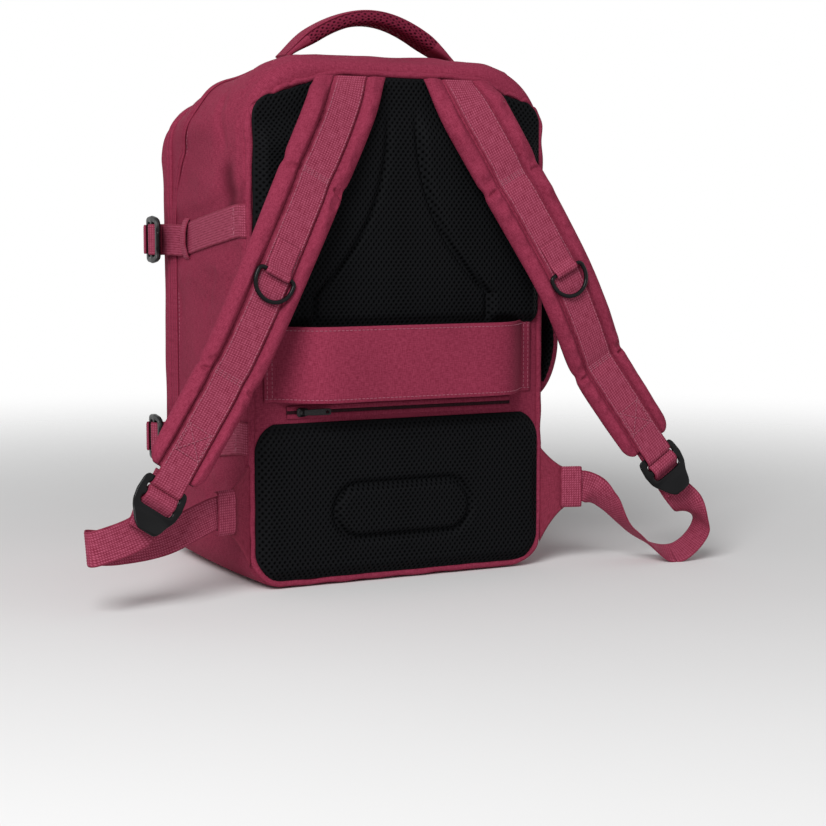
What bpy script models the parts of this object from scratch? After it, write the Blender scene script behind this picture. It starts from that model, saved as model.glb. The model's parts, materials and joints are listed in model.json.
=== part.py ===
"""A travel backpack, standing on its base with its harness towards -Y.

Metres, +Z up, +X to the wearer's right as seen from behind the harness. The origin is the
middle of the base. The tub holds the load, the lid closes it along the main zip and hinges at
the foot of the front, and the padded harness hangs from the top of the back.
"""

import math

import bmesh
import bpy
from mathutils import Matrix, Vector

# Body
BODY_WIDTH = 0.254
BODY_HEIGHT = 0.405
BACK_DROP = 0.010
FRONT_DROP = 0.017
CROWN_Y = -0.030
BACK_Y = -0.090
ZIP_Y = 0.0765
LID_FLAT = 0.010
LID_EDGE_RADIUS = 0.020
TOP_RADIUS = 0.055
BASE_RADIUS = 0.030
BACK_EDGE_RADIUS = 0.008
SIDE_BULGE = 0.003
WALL = 0.003

# Clearances
GAP = 0.0003
LID_GAP = 0.0006

# Inner pieces
SHEET_THICK = 0.0015
SHEET_MARGIN = 0.016
SHEET_RADIUS = 0.020
LAPTOP_SPACE = 0.022
LAPTOP_WALL = 0.004
LAPTOP_HALF_WIDTH = 0.098
LAPTOP_HEIGHT = 0.250

# Back pads
PAD_EDGE = 0.0018
PAD_SIDE_MARGIN = 0.0085
PAD_ROLL = 0.010
UPPER_PAD_TOP_MARGIN = 0.002
UPPER_PAD_CROWN = 0.0085
UPPER_PAD_SPINE = 0.0050
UPPER_PAD_RADIUS = 0.012
UPPER_PAD_TOP_RADIUS = TOP_RADIUS - BACK_EDGE_RADIUS - UPPER_PAD_TOP_MARGIN
UPPER_PAD_TOP_BAND = 0.020
UPPER_PAD_RAMP = 0.030
GROOVE_TOP_HALF = 0.0125
GROOVE_FOOT_HALF = 0.075
GROOVE_FOOT_RISE = 0.018
GROOVE_WIDTH = 0.0045
GROOVE_DEPTH = 0.0035
LOWER_PAD_FOOT = 0.010
LOWER_PAD_CROWN = 0.0070
LOWER_PAD_RADIUS = 0.022
LUMBAR_HALF_WIDTH = 0.058
LUMBAR_HALF_HEIGHT = 0.0205
LUMBAR_Z = 0.056
LUMBAR_RISE = 0.0020

# Trolley sleeve across the back
SLEEVE_FOOT = 0.142
SLEEVE_TOP = 0.199
SLEEVE_HALF_WIDTH = 0.114
SLEEVE_FLAT_HALF = 0.078
SLEEVE_SEAM = 0.008
SLEEVE_STAND = 0.028
SLEEVE_THICK = 0.002
SLEEVE_TO_PAD = 0.004

# Zips
TAPE_WIDTH = 0.010
TAPE_THICK = 0.0014
TAPE_EDGE = 0.0015
ZIP_UNDER_SLEEVE = 0.0082
PAD_UNDER_ZIP = 0.0083
BACK_ZIP_HALF = 0.096
BACK_SLIDER_X = -0.084
MAIN_SLIDER_X = 0.026
FRONT_SLIDER_X = -0.070
SLIDER_LENGTH = 0.010
SLIDER_WIDTH = 0.007
SLIDER_HEIGHT = 0.003
PULLER_LENGTH = 0.022
PULLER_WIDTH = 0.005
PULLER_THICK = 0.0014
PULLER_EYE = 0.0011

# Front pocket
POCKET_HALF_WIDTH = 0.094
POCKET_FOOT = 0.040
POCKET_TOP = 0.232
POCKET_CROWN = 0.009
POCKET_RADIUS = 0.025
FRONT_ZIP_RISE = 0.0075

# Webbing and its hardware
WEB_WIDTH = 0.025
WEB_THICK = 0.0014
LOCK_WIDTH = 0.0365
LOCK_SLOT_WIDTH = 0.0265
LOCK_BAR = 0.0044
LOCK_SLOT = 0.0066
LOCK_MIDDLE = 0.0034
LOCK_FOOT_BAR = 0.0050
LOCK_TAB = 0.0125
LOCK_TAB_WIDTH = 0.022
LOCK_TAB_RISE = 0.45
LOCK_THICK = 0.0032
RING_WIDTH = 0.027
RING_DEPTH = 0.021
RING_WIRE = 0.0016
RING_LOOP_WIDTH = 0.020

# Shoulder straps
STRAP_SPACING = 0.090
STRAP_TOP_HALF_WIDTH = 0.029
STRAP_END_HALF_WIDTH = 0.0235
STRAP_TOP_HALF_THICK = 0.0045
STRAP_HALF_THICK = 0.0065
STRAP_CHANNEL = 0.0020
STRAP_CHANNEL_HALF = 0.0140
STRAP_ROUND_END = 0.020
STRAP_PINCH = 0.30
STRAP_HINGE_DROP = 0.003
BAR_TACKS = (2.0, 6.0)
RING_STATION = 3.85
LOOP_REACH = 0.010
# Each point is how far out, how far off the back and how far down from the hinge the strap is.
STRAP_ROUTE = (
    (0.000, 0.0000, 0.000),
    (0.015, 0.0080, 0.031),
    (0.038, 0.0160, 0.074),
    (0.060, 0.0240, 0.115),
    (0.079, 0.0300, 0.151),
    (0.096, 0.0300, 0.186),
    (0.112, 0.0275, 0.218),
    (0.135, 0.0310, 0.253),
    (0.1565, 0.0370, 0.285),
)

# Wings and the adjusting webbing from them to the shoulder straps
WING_FOOT = 0.026
WING_TOP = 0.096
WING_REACH = 0.030
WING_SET_BACK = 0.010
WING_END_HALF = 0.0130
WING_END_Z = 0.063
WING_THICK = 0.0024
WEB_ON_WING = 0.014
WEB_OFF_WING = 0.006
# Each point is a share of the way to the buckle, a move from that straight line and the way
# that the width of the webbing points there.
RIGHT_SLACK = (
    (0.20, (0.006, 0.004, -0.016), (0.2, -0.5, 0.85)),
    (0.45, (0.010, 0.004, -0.038), (0.2, -0.9, 0.3)),
    (0.75, (0.020, 0.004, -0.047), (0.0, -1.0, 0.0)),
    (1.00, (0.026, 0.003, -0.026), (0.2, -0.9, 0.1)),
)
LEFT_SLACK = (
    (0.40, (-0.012, 0.006, -0.012), (0.0, 0.1, 1.0)),
    (0.75, (-0.026, 0.012, -0.014), (0.0, 0.2, 1.0)),
    (0.95, (-0.036, 0.010, -0.010), (0.0, 0.2, 1.0)),
    (1.00, (-0.032, -0.002, -0.009), (-0.1, 0.1, 1.0)),
)

# Compression straps
COMPRESSION_HEIGHTS = (0.100, 0.262)
COMPRESSION_NAMES = ("lower", "upper")
COMPRESSION_TILT = 0.015
COMPRESSION_START = 0.014
COMPRESSION_LIFT_OFF = 0.030
LOCK_STAND_OFF = 0.0125

# Carrying handles
HANDLE_SPAN = 0.150
HANDLE_RISE = 0.028
SIDE_HANDLE_SPAN = 0.096
SIDE_HANDLE_RISE = 0.014
SIDE_HANDLE_Y = -0.058
SIDE_HANDLE_Z = 0.180
HANDLE_HALF_WIDTH = 0.0145
HANDLE_HALF_THICK = 0.0050
HANDLE_END_RADIUS = 0.0060
HANDLE_WIDENING = 0.55
ARCH_FULLNESS = 0.85

# Derived places
FRONT_Y = ZIP_Y + LID_FLAT + LID_EDGE_RADIUS
BACK_FACE_Y = BACK_Y - GAP
SHEET_Y = BACK_Y + WALL + GAP + SHEET_THICK / 2
STRAP_HINGE_Y = BACK_FACE_Y - PAD_EDGE - GAP - STRAP_TOP_HALF_THICK
STRAP_HINGE_Z = BODY_HEIGHT - BACK_DROP - BACK_EDGE_RADIUS - STRAP_HINGE_DROP
PAD_HALF_WIDTH = BODY_WIDTH / 2 - PAD_SIDE_MARGIN
UPPER_PAD_TOP = BODY_HEIGHT - BACK_DROP - BACK_EDGE_RADIUS - UPPER_PAD_TOP_MARGIN
LOCK_PIVOT_CLEAR = math.hypot(LOCK_BAR / 2, LOCK_THICK / 2) + GAP + WEB_THICK / 2
ZIP_CENTRE_Y = ZIP_Y - TAPE_EDGE - TAPE_WIDTH / 2
UPPER_PAD_FOOT = SLEEVE_TOP + SLEEVE_TO_PAD
BACK_ZIP_Z = SLEEVE_FOOT - ZIP_UNDER_SLEEVE
LOWER_PAD_TOP = BACK_ZIP_Z - PAD_UNDER_ZIP
FRONT_ZIP_Z = POCKET_TOP + FRONT_ZIP_RISE

# Steps along curves
SIDE_STEPS = 4
TOP_STEPS = 4
TOP_ARC_STEPS = 6
BASE_ARC_STEPS = 4
BASE_STEPS = 3
EDGE_STEPS = 4
CROWN_STEPS = 3
STRAP_STEPS = 4
WEB_STEPS = 3
ADJUSTER_STEPS = 8
PAD_COLUMNS = 34
PAD_ROWS = 22
CORNER_START = 0.3

BURGUNDY = (0.30, 0.035, 0.075, 1)
BLACK = (0.012, 0.012, 0.013, 1)
GREY = (0.06, 0.06, 0.065, 1)

for old in list(bpy.data.objects):
    bpy.data.objects.remove(old, do_unlink=True)

parts = bpy.data.collections.new("travel_backpack")
bpy.context.scene.collection.children.link(parts)


def finish(name, colour, roughness, metallic=0.0):
    """A material of one colour for the pieces of one kind."""
    material = bpy.data.materials.new(name)
    material.use_nodes = True
    shader = material.node_tree.nodes["Principled BSDF"]
    shader.inputs["Base Color"].default_value = colour
    shader.inputs["Roughness"].default_value = roughness
    shader.inputs["Metallic"].default_value = metallic
    return material


woven = finish("burgundy_fabric", BURGUNDY, 0.8)
webbing = finish("burgundy_webbing", BURGUNDY, 0.7)
spacer_mesh = finish("black_spacer_mesh", BLACK, 0.9)
acetal = finish("black_acetal", GREY, 0.4)
zip_metal = finish("zip_metal", (0.25, 0.25, 0.26, 1), 0.35, 1.0)
board = finish("black_board", GREY, 0.6)


def place(name, mesh, material):
    """A named object for one sub-part, shaded smooth across its soft edges."""
    part = bpy.data.objects.new(name, mesh)
    mesh.materials.append(material)
    mesh.shade_smooth()
    mesh.set_sharp_from_angle(angle=math.radians(40))
    parts.objects.link(part)
    return part


def mesh_of(name, shape):
    """The mesh of a bmesh, its faces turned outwards."""
    bmesh.ops.recalc_face_normals(shape, faces=shape.faces[:])
    mesh = bpy.data.meshes.new(name)
    shape.to_mesh(mesh)
    shape.free()
    return mesh


def loft(name, rings, material, caps=(True, True)):
    """A skin over rings of as many points each, closed by a face at either end where asked."""
    shape = bmesh.new()
    rows = [[shape.verts.new(point) for point in ring] for ring in rings]
    for row, following in zip(rows, rows[1:]):
        for i in range(len(row)):
            j = (i + 1) % len(row)
            shape.faces.new((row[i], row[j], following[j], following[i]))
    for wanted, row in zip(caps, (rows[0], rows[-1])):
        if wanted:
            shape.faces.new(row)
    return place(name, mesh_of(name, shape), material)


def move_origin(part, point):
    """Puts the origin of a part on its joint's axis and leaves its shape where it is."""
    part.data.transform(Matrix.Translation(-Vector(point)))
    part.location = point


def spline(points, steps):
    """Points on a smooth curve through the given ones, with so many steps between two."""
    points = [Vector(point) for point in points]
    full = [2 * points[0] - points[1], *points, 2 * points[-1] - points[-2]]
    curve = []
    for a, b, c, d in zip(full, full[1:], full[2:], full[3:]):
        for k in range(steps):
            t = k / steps
            bend = (2 * a - 5 * b + 4 * c - d) * t**2 + (3 * b - a - 3 * c + d) * t**3
            curve.append((2 * b + (c - a) * t + bend) / 2)
    curve.append(points[-1])
    return curve


def eased(ways, steps):
    """Directions that turn smoothly from each given one to the next, with so many steps between."""
    turned = []
    for a, b in zip(ways, ways[1:]):
        turned += [a.lerp(b, smooth_step(k / steps)) for k in range(steps)]
    return turned + [ways[-1]]


def ribbon(name, path, widths, width, material):
    """A strip of webbing along a path, with the way its width points given at each point."""
    rings = []
    for i, centre in enumerate(path):
        ahead = (path[min(i + 1, len(path) - 1)] - path[max(i - 1, 0)]).normalized()
        side = (widths[i] - ahead * widths[i].dot(ahead)).normalized()
        across = side * width / 2
        up = ahead.cross(side) * WEB_THICK / 2
        ring = [centre - across - up, centre + across - up, centre + across + up, centre - across + up]
        rings.append(ring)
    return loft(name, rings, material)


def solid_from_curve(curve_object):
    """The closed mesh of a curve, its caps joined to its sides."""
    graph = bpy.context.evaluated_depsgraph_get()
    mesh = bpy.data.meshes.new_from_object(curve_object.evaluated_get(graph))
    shape = bmesh.new()
    shape.from_mesh(mesh)
    bmesh.ops.remove_doubles(shape, verts=shape.verts[:], dist=1e-6)
    name = curve_object.name
    bpy.data.objects.remove(curve_object, do_unlink=True)
    bpy.data.meshes.remove(mesh)
    return mesh_of(name, shape)


def plate(name, outlines, thickness):
    """A flat plate in the XY plane: the first outline is its rim and the others are holes."""
    curve = bpy.data.curves.new(name, "CURVE")
    curve.dimensions = "2D"
    curve.fill_mode = "BOTH"
    curve.extrude = thickness / 2
    for outline_points in outlines:
        line = curve.splines.new("POLY")
        line.points.add(len(outline_points) - 1)
        for point, (x, y) in zip(line.points, outline_points):
            point.co = (x, y, 0, 1)
        line.use_cyclic_u = True
    shape = bpy.data.objects.new(name, curve)
    parts.objects.link(shape)
    bpy.context.view_layer.update()
    return solid_from_curve(shape)


def arc(centre, radius, start, end, steps):
    """Points on an arc, in degrees, without its last."""
    angles = [math.radians(start + (end - start) * k / steps) for k in range(steps)]
    return [(centre[0] + radius * math.cos(a), centre[1] + radius * math.sin(a)) for a in angles]


def rounded(half_width, low, high, radius, steps=3):
    """A rectangle with round corners, from low to high along Y."""
    x = half_width - radius
    return [
        *arc((x, low + radius), radius, -90, 0, steps), (half_width, low + radius),
        *arc((x, high - radius), radius, 0, 90, steps), (x, high),
        *arc((-x, high - radius), radius, 90, 180, steps), (-half_width, high - radius),
        *arc((-x, low + radius), radius, 180, 270, steps), (-x, low),
    ]


def half_width_at(y):
    """Half the width of the body, which swells between its back and its zip."""
    share = (y - BACK_Y) / (ZIP_Y - BACK_Y)
    return BODY_WIDTH / 2 + SIDE_BULGE * max(0.0, 4 * share * (1 - share))


def height_at(y):
    """The height of the top, which is highest over the carrying handle."""
    behind = y < CROWN_Y
    drop = BACK_DROP if behind else FRONT_DROP
    span = CROWN_Y - BACK_Y if behind else ZIP_Y - CROWN_Y
    return BODY_HEIGHT - drop * ((y - CROWN_Y) / span) ** 2


def body_ring(y, inset=0.0):
    """The outline of the body at one depth: up the left side, over the top, down and back."""
    w = half_width_at(y) - inset
    top = height_at(y) - inset
    r, b = TOP_RADIUS - inset, BASE_RADIUS - inset
    foot = inset + b
    shoulder = top - r
    line = [(-w, foot + (shoulder - foot) * k / SIDE_STEPS) for k in range(SIDE_STEPS)]
    line += arc((-w + r, shoulder), r, 180, 90, TOP_ARC_STEPS)
    line += [(-w + r + 2 * (w - r) * k / TOP_STEPS, top) for k in range(TOP_STEPS)]
    line += arc((w - r, shoulder), r, 90, 0, TOP_ARC_STEPS)
    line += [(w, shoulder + (foot - shoulder) * k / SIDE_STEPS) for k in range(SIDE_STEPS)]
    line += arc((w - b, foot), b, 0, -90, BASE_ARC_STEPS)
    line += [(w - b - 2 * (w - b) * k / BASE_STEPS, inset) for k in range(BASE_STEPS)]
    line += arc((-w + b, foot), b, -90, -180, BASE_ARC_STEPS)
    return [Vector((x, y, z)) for x, z in line]


def edge_rings(start, radius, way):
    """Rings that roll the edge of the body over from a depth, towards +Y or -Y."""
    rings = []
    for k in range(1, EDGE_STEPS + 1):
        angle = math.radians(90 * k / EDGE_STEPS)
        rings.append(body_ring(start + way * radius * math.sin(angle), radius * (1 - math.cos(angle))))
    return rings


def shell(name, rings):
    """A fabric wall over rings: open at the first ring and closed over the last."""
    part = loft(name, rings, woven, caps=(False, True))
    wall = part.modifiers.new("wall", "SOLIDIFY")
    wall.thickness = WALL
    wall.offset = -1
    wall.use_even_offset = True
    return part


def make_body():
    """The tub, the lid that closes it and the pieces inside."""
    roll = BACK_Y + BACK_EDGE_RADIUS
    stations = [ZIP_Y + (CROWN_Y - ZIP_Y) * k / CROWN_STEPS for k in range(CROWN_STEPS)]
    stations += [CROWN_Y + (roll - CROWN_Y) * k / CROWN_STEPS for k in range(CROWN_STEPS + 1)]
    shell("main_shell", [body_ring(y) for y in stations] + edge_rings(roll, BACK_EDGE_RADIUS, -1))
    lid_start = ZIP_Y + LID_GAP
    lid_roll = ZIP_Y + LID_FLAT
    lid_rings = [body_ring(lid_start), body_ring(lid_roll)] + edge_rings(lid_roll, LID_EDGE_RADIUS, 1)
    lid = shell("front_panel", lid_rings)
    move_origin(lid, (0, ZIP_Y + LID_GAP / 2, 0))

    half = BODY_WIDTH / 2 - SHEET_MARGIN
    top = BODY_HEIGHT - BACK_DROP - SHEET_MARGIN
    sheet_outline = rounded(half, SHEET_MARGIN, top, SHEET_RADIUS)
    sheet = place("frame_sheet", plate("frame_sheet", [sheet_outline], SHEET_THICK), board)
    sheet.rotation_euler = (math.radians(90), 0, 0)
    sheet.location = (0, SHEET_Y, 0)

    back = SHEET_Y + SHEET_THICK / 2 + GAP
    front = back + LAPTOP_SPACE + LAPTOP_WALL
    outer, inner = LAPTOP_HALF_WIDTH, LAPTOP_HALF_WIDTH - LAPTOP_WALL
    plan = [(-outer, back), (-outer, front), (outer, front), (outer, back)]
    plan += [(inner, back), (inner, front - LAPTOP_WALL), (-inner, front - LAPTOP_WALL), (-inner, back)]
    foot = SHEET_MARGIN + GAP
    rings = [[Vector((x, y, z)) for x, y in plan] for z in (foot, foot + LAPTOP_HEIGHT)]
    loft("laptop_sleeve", rings, woven)


def smooth_step(t):
    """0 below 0, 1 above 1 and a smooth rise between."""
    t = min(max(t, 0.0), 1.0)
    return t * t * (3 - 2 * t)


def cushion(name, half, low, high, radii, height, face_y, way, material):
    """A pad with round corners and a flat back; height(x, z, edge) is its thickness at a point.

    The radii are those of its two lower and of its two upper corners.
    """
    rings = []
    for row in range(PAD_ROWS + 1):
        share = (1 - math.cos(math.pi * row / PAD_ROWS)) / 2
        z = low + (high - low) * (0.6 * share + 0.4 * row / PAD_ROWS)
        to_end, radius = min((z - low, radii[0]), (high - z, radii[1]))
        into = max(0.0, radius - to_end)
        w = half - radius + math.sqrt(radius**2 - into**2 * (1 - CORNER_START**2))
        xs = [-w + 2 * w * k / PAD_COLUMNS for k in range(PAD_COLUMNS + 1)]
        ring = []
        for x in xs:
            edge = min(w - abs(x), z - low, high - z)
            ring.append(Vector((x, face_y + way * height(x, z, edge), z)))
        ring += [Vector((w, face_y, z)), Vector((-w, face_y, z))]
        rings.append(ring)
    return loft(name, rings, material)


def upper_pad_height(x, z, edge):
    """Two shoulder-blade pads beside a spine, with a groove between that flares to a bell."""
    run = UPPER_PAD_TOP - UPPER_PAD_FOOT - GROOVE_FOOT_RISE
    down = max(0.0, min(1.0, (UPPER_PAD_TOP - z) / run))
    groove = GROOVE_TOP_HALF + (GROOVE_FOOT_HALF - GROOVE_TOP_HALF) * down**3
    away = abs(x) - groove
    blade = smooth_step(away / GROOVE_WIDTH + 0.5)
    full = UPPER_PAD_SPINE + (UPPER_PAD_CROWN - UPPER_PAD_SPINE) * blade
    full -= GROOVE_DEPTH * math.exp(-((away / GROOVE_WIDTH) ** 2))
    rise = smooth_step(edge / PAD_ROLL)
    rise *= smooth_step((UPPER_PAD_TOP - UPPER_PAD_TOP_BAND - z) / UPPER_PAD_RAMP)
    return PAD_EDGE + (full - PAD_EDGE) * rise


def lower_pad_height(x, z, edge):
    """A flat-crowned pad with a raised oblong for the small of the back, sewn in round its rim."""
    straight = LUMBAR_HALF_WIDTH - LUMBAR_HALF_HEIGHT
    away = math.hypot(max(abs(x) - straight, 0.0), z - LUMBAR_Z) - LUMBAR_HALF_HEIGHT
    full = LOWER_PAD_CROWN + LUMBAR_RISE * smooth_step(-away / GROOVE_WIDTH)
    full -= GROOVE_DEPTH * math.exp(-((away / GROOVE_WIDTH) ** 2))
    return PAD_EDGE + (full - PAD_EDGE) * smooth_step(edge / PAD_ROLL)


def pocket_height(x, z, edge):
    """A flat front pocket that swells from its seam."""
    return PAD_EDGE + (POCKET_CROWN - PAD_EDGE) * smooth_step(edge / (3 * PAD_ROLL))


def make_back():
    """The mesh pads, the trolley sleeve and the flat pocket's zip across the back."""
    cushion("upper_back_pad", PAD_HALF_WIDTH, UPPER_PAD_FOOT, UPPER_PAD_TOP,
            (UPPER_PAD_RADIUS, UPPER_PAD_TOP_RADIUS), upper_pad_height, BACK_FACE_Y, -1, spacer_mesh)
    cushion("lower_back_pad", PAD_HALF_WIDTH, LOWER_PAD_FOOT, LOWER_PAD_TOP,
            (LOWER_PAD_RADIUS, LOWER_PAD_RADIUS), lower_pad_height, BACK_FACE_Y, -1, spacer_mesh)
    near = BACK_FACE_Y - SLEEVE_THICK / 2
    far = BACK_FACE_Y - SLEEVE_STAND
    seam = SLEEVE_HALF_WIDTH - SLEEVE_SEAM
    half_path = [(SLEEVE_HALF_WIDTH, near), (seam, near), (SLEEVE_FLAT_HALF, far + SLEEVE_THICK / 2)]
    half_path += [(SLEEVE_FLAT_HALF / 3, far)]
    path = [Vector((-x, y, 0)) for x, y in half_path] + [Vector((x, y, 0)) for x, y in reversed(half_path)]
    path = spline(path, WEB_STEPS)
    rings = []
    for i, point in enumerate(path):
        ahead = (path[min(i + 1, len(path) - 1)] - path[max(i - 1, 0)]).normalized()
        out = Vector((ahead.y, -ahead.x, 0)) * SLEEVE_THICK / 2
        corners = [(out, SLEEVE_FOOT), (-out, SLEEVE_FOOT), (-out, SLEEVE_TOP), (out, SLEEVE_TOP)]
        ring = [point + offset + Vector((0, 0, z)) for offset, z in corners]
        for corner in ring:
            corner.y = min(corner.y, BACK_FACE_Y)
        rings.append(ring)
    loft("trolley_sleeve", rings, woven)


def zip_frame(point, along, out):
    """A frame on a zip: X along it, Y across it and Z out of it."""
    along, out = Vector(along), Vector(out).normalized()
    turn = Matrix((along, out.cross(along), out)).transposed().to_4x4()
    return Matrix.Translation(point) @ turn


def slider_and_puller(name, frame, way):
    """The slider of a zip on the face of its tape, and the pull tab that flips over on it."""
    shape = bmesh.new()
    bmesh.ops.create_cube(shape, size=1.0)
    size = Matrix.Diagonal((SLIDER_LENGTH, SLIDER_WIDTH, SLIDER_HEIGHT, 1))
    bmesh.ops.transform(shape, matrix=size, verts=shape.verts[:])
    slider = place(name + "_slider", mesh_of(name + "_slider", shape), zip_metal)
    round_edges = slider.modifiers.new("round_edges", "BEVEL")
    round_edges.width = SLIDER_HEIGHT / 4
    round_edges.segments = 2
    slider.matrix_world = frame @ Matrix.Translation((0, 0, GAP + SLIDER_HEIGHT / 2))
    tab = rounded(PULLER_WIDTH / 2, 0, PULLER_LENGTH, PULLER_WIDTH * 0.4)
    eye = arc((0, PULLER_LENGTH - PULLER_WIDTH / 2), PULLER_EYE, 0, 360, 8)
    puller = place(name + "_puller", plate(name + "_puller", [tab, eye], PULLER_THICK), zip_metal)
    lie = Matrix.Rotation(math.radians(-90 * way), 4, "Z")
    height = 2 * GAP + SLIDER_HEIGHT + PULLER_THICK / 2
    puller.matrix_world = frame @ Matrix.Translation((0, 0, height)) @ lie


def flat_tape(name, half_length, z, face_y, way):
    """A straight zip tape on a flat wall."""
    rings = []
    for x in (-half_length, half_length):
        low, high = z - TAPE_WIDTH / 2, z + TAPE_WIDTH / 2
        far = face_y + way * TAPE_THICK
        rings.append([Vector((x, y, h)) for y, h in ((face_y, low), (far, low), (far, high), (face_y, high))])
    loft(name, rings, webbing)


def make_zips():
    """The main zip over the top and sides, the flat back zip and the front pocket's zip."""
    low, high = ZIP_Y - TAPE_EDGE - TAPE_WIDTH, ZIP_Y - TAPE_EDGE
    lines = [body_ring(low, -GAP), body_ring(low, -GAP - TAPE_THICK)]
    lines += [body_ring(high, -GAP - TAPE_THICK), body_ring(high, -GAP)]
    run = 2 * SIDE_STEPS + 2 * TOP_ARC_STEPS + TOP_STEPS + 1
    loft("main_zip_tape", [[line[i] for line in lines] for i in range(run)], webbing)
    rise = height_at(high) - height_at(low)
    out = (0, -rise, TAPE_WIDTH)
    top = (height_at(high) + height_at(low)) / 2 + GAP + TAPE_THICK
    for side, x in (("left", -MAIN_SLIDER_X), ("right", MAIN_SLIDER_X)):
        way = math.copysign(1, x)
        slider_and_puller(f"main_zip_{side}", zip_frame((x, ZIP_CENTRE_Y, top), (1, 0, 0), out), way)

    flat_tape("back_zip_tape", BACK_ZIP_HALF, BACK_ZIP_Z, BACK_FACE_Y, -1)
    face = BACK_FACE_Y - TAPE_THICK
    slider_and_puller("back_zip", zip_frame((BACK_SLIDER_X, face, BACK_ZIP_Z), (1, 0, 0), (0, -1, 0)), 1)
    flat_tape("front_zip_tape", POCKET_HALF_WIDTH, FRONT_ZIP_Z, FRONT_Y + GAP, 1)
    face = FRONT_Y + GAP + TAPE_THICK
    slider_and_puller("front_zip", zip_frame((FRONT_SLIDER_X, face, FRONT_ZIP_Z), (1, 0, 0), (0, 1, 0)), 1)
    cushion("front_pocket", POCKET_HALF_WIDTH, POCKET_FOOT, POCKET_TOP,
            (POCKET_RADIUS, POCKET_RADIUS), pocket_height, FRONT_Y + GAP, 1, woven)


def ladder_lock(name, frame):
    """A ladder-lock buckle: a top bar for the sewn loop, a bar that grips and a lifted thumb tab.

    In its frame X is its width, Y runs down from the top bar's middle and Z is outwards.
    """
    top = -LOCK_BAR / 2
    slot_a = LOCK_BAR / 2
    slot_b = slot_a + LOCK_SLOT + LOCK_MIDDLE
    foot = slot_b + LOCK_SLOT
    end = foot + LOCK_FOOT_BAR + LOCK_TAB
    w, t, corner = LOCK_WIDTH / 2, LOCK_TAB_WIDTH / 2, LOCK_BAR * 0.8
    waist = foot + LOCK_FOOT_BAR
    rim = [*arc((-w + corner, top + corner), corner, 180, 270, 3), (-w + corner, top)]
    rim += [*arc((w - corner, top + corner), corner, 270, 360, 3), (w, top + corner)]
    rim += [(w, slot_b), (w * 0.97, foot), (w * 0.88, waist)]
    rim += arc((0, end - t), t, 20, 160, 6) + [(-w * 0.88, waist), (-w * 0.97, foot), (-w, slot_b)]
    slots = []
    for low in (slot_a, slot_b):
        h = LOCK_SLOT_WIDTH / 2
        slots.append([(-h, low), (h, low), (h, low + LOCK_SLOT), (-h, low + LOCK_SLOT)])
    mesh = plate(name, [rim, *slots], LOCK_THICK)
    for vertex in mesh.vertices:
        vertex.co.z += LOCK_TAB_RISE * max(0.0, vertex.co.y - waist)
    part = place(name, mesh, acetal)
    part.matrix_world = frame


def lock_frame(pivot, down, out):
    """The frame of a buckle: X its width, Y down along it, Z outwards."""
    return Matrix.Translation(pivot) @ Matrix((down.cross(out), down, out)).transposed().to_4x4()


def threading(frame):
    """Where webbing runs in a buckle: up behind it, over the gripping bar and down to a tail."""
    grip = LOCK_BAR / 2 + LOCK_SLOT
    below = grip + LOCK_MIDDLE
    foot = below + LOCK_SLOT
    skin = LOCK_THICK / 2 + WEB_THICK
    line = [
        (foot + 0.018, -2.5 * skin), (foot, -2.2 * skin), (below, -1.6 * skin), (grip, -1.1 * skin),
        (grip - 0.0018, 0), (grip, skin), (below, skin), (below + LOCK_SLOT / 2, 0),
        (foot, -skin), (foot + LOCK_FOOT_BAR, -skin), (foot + LOCK_FOOT_BAR + 0.012, -0.9 * skin),
    ]
    return [frame @ Vector((0, y, z)) for y, z in line]


def strap_station(side, number):
    """The middle, the way down, the way across and the way out of a shoulder strap at a station."""
    route = [
        Vector((side * (STRAP_SPACING / 2 + out), STRAP_HINGE_Y - off, STRAP_HINGE_Z - down))
        for out, off, down in STRAP_ROUTE
    ]
    fine = 40
    curve = spline(route, fine)
    i = min(round(number * fine), len(curve) - 1)
    ahead = (curve[min(i + 1, len(curve) - 1)] - curve[max(i - 1, 0)]).normalized()
    facing = Vector((0, -1, 0))
    out = (facing - ahead * facing.dot(ahead)).normalized()
    across = Vector((-1, 0, 0)).lerp(ahead.cross(out), smooth_step(number))
    return curve[i], ahead, across.normalized(), out


def strap_half_thick(number):
    """Half the thickness of the strap's pad at a station: thin at its top and at each bar tack."""
    last = len(STRAP_ROUTE) - 1
    swell = smooth_step(number / 1.5)
    thick = STRAP_TOP_HALF_THICK + (STRAP_HALF_THICK - STRAP_TOP_HALF_THICK) * swell
    pinch = sum(math.exp(-(((number - tack) / 0.2) ** 2)) for tack in BAR_TACKS)
    thick *= 1 - STRAP_PINCH * pinch
    return thick + (STRAP_TOP_HALF_THICK - thick) * smooth_step(number - last + 1)


def webbing_height(number):
    """How far the middle of the webbing on a strap lies out from the strap's middle."""
    return strap_half_thick(number) - STRAP_CHANNEL + GAP + WEB_THICK / 2


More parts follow.
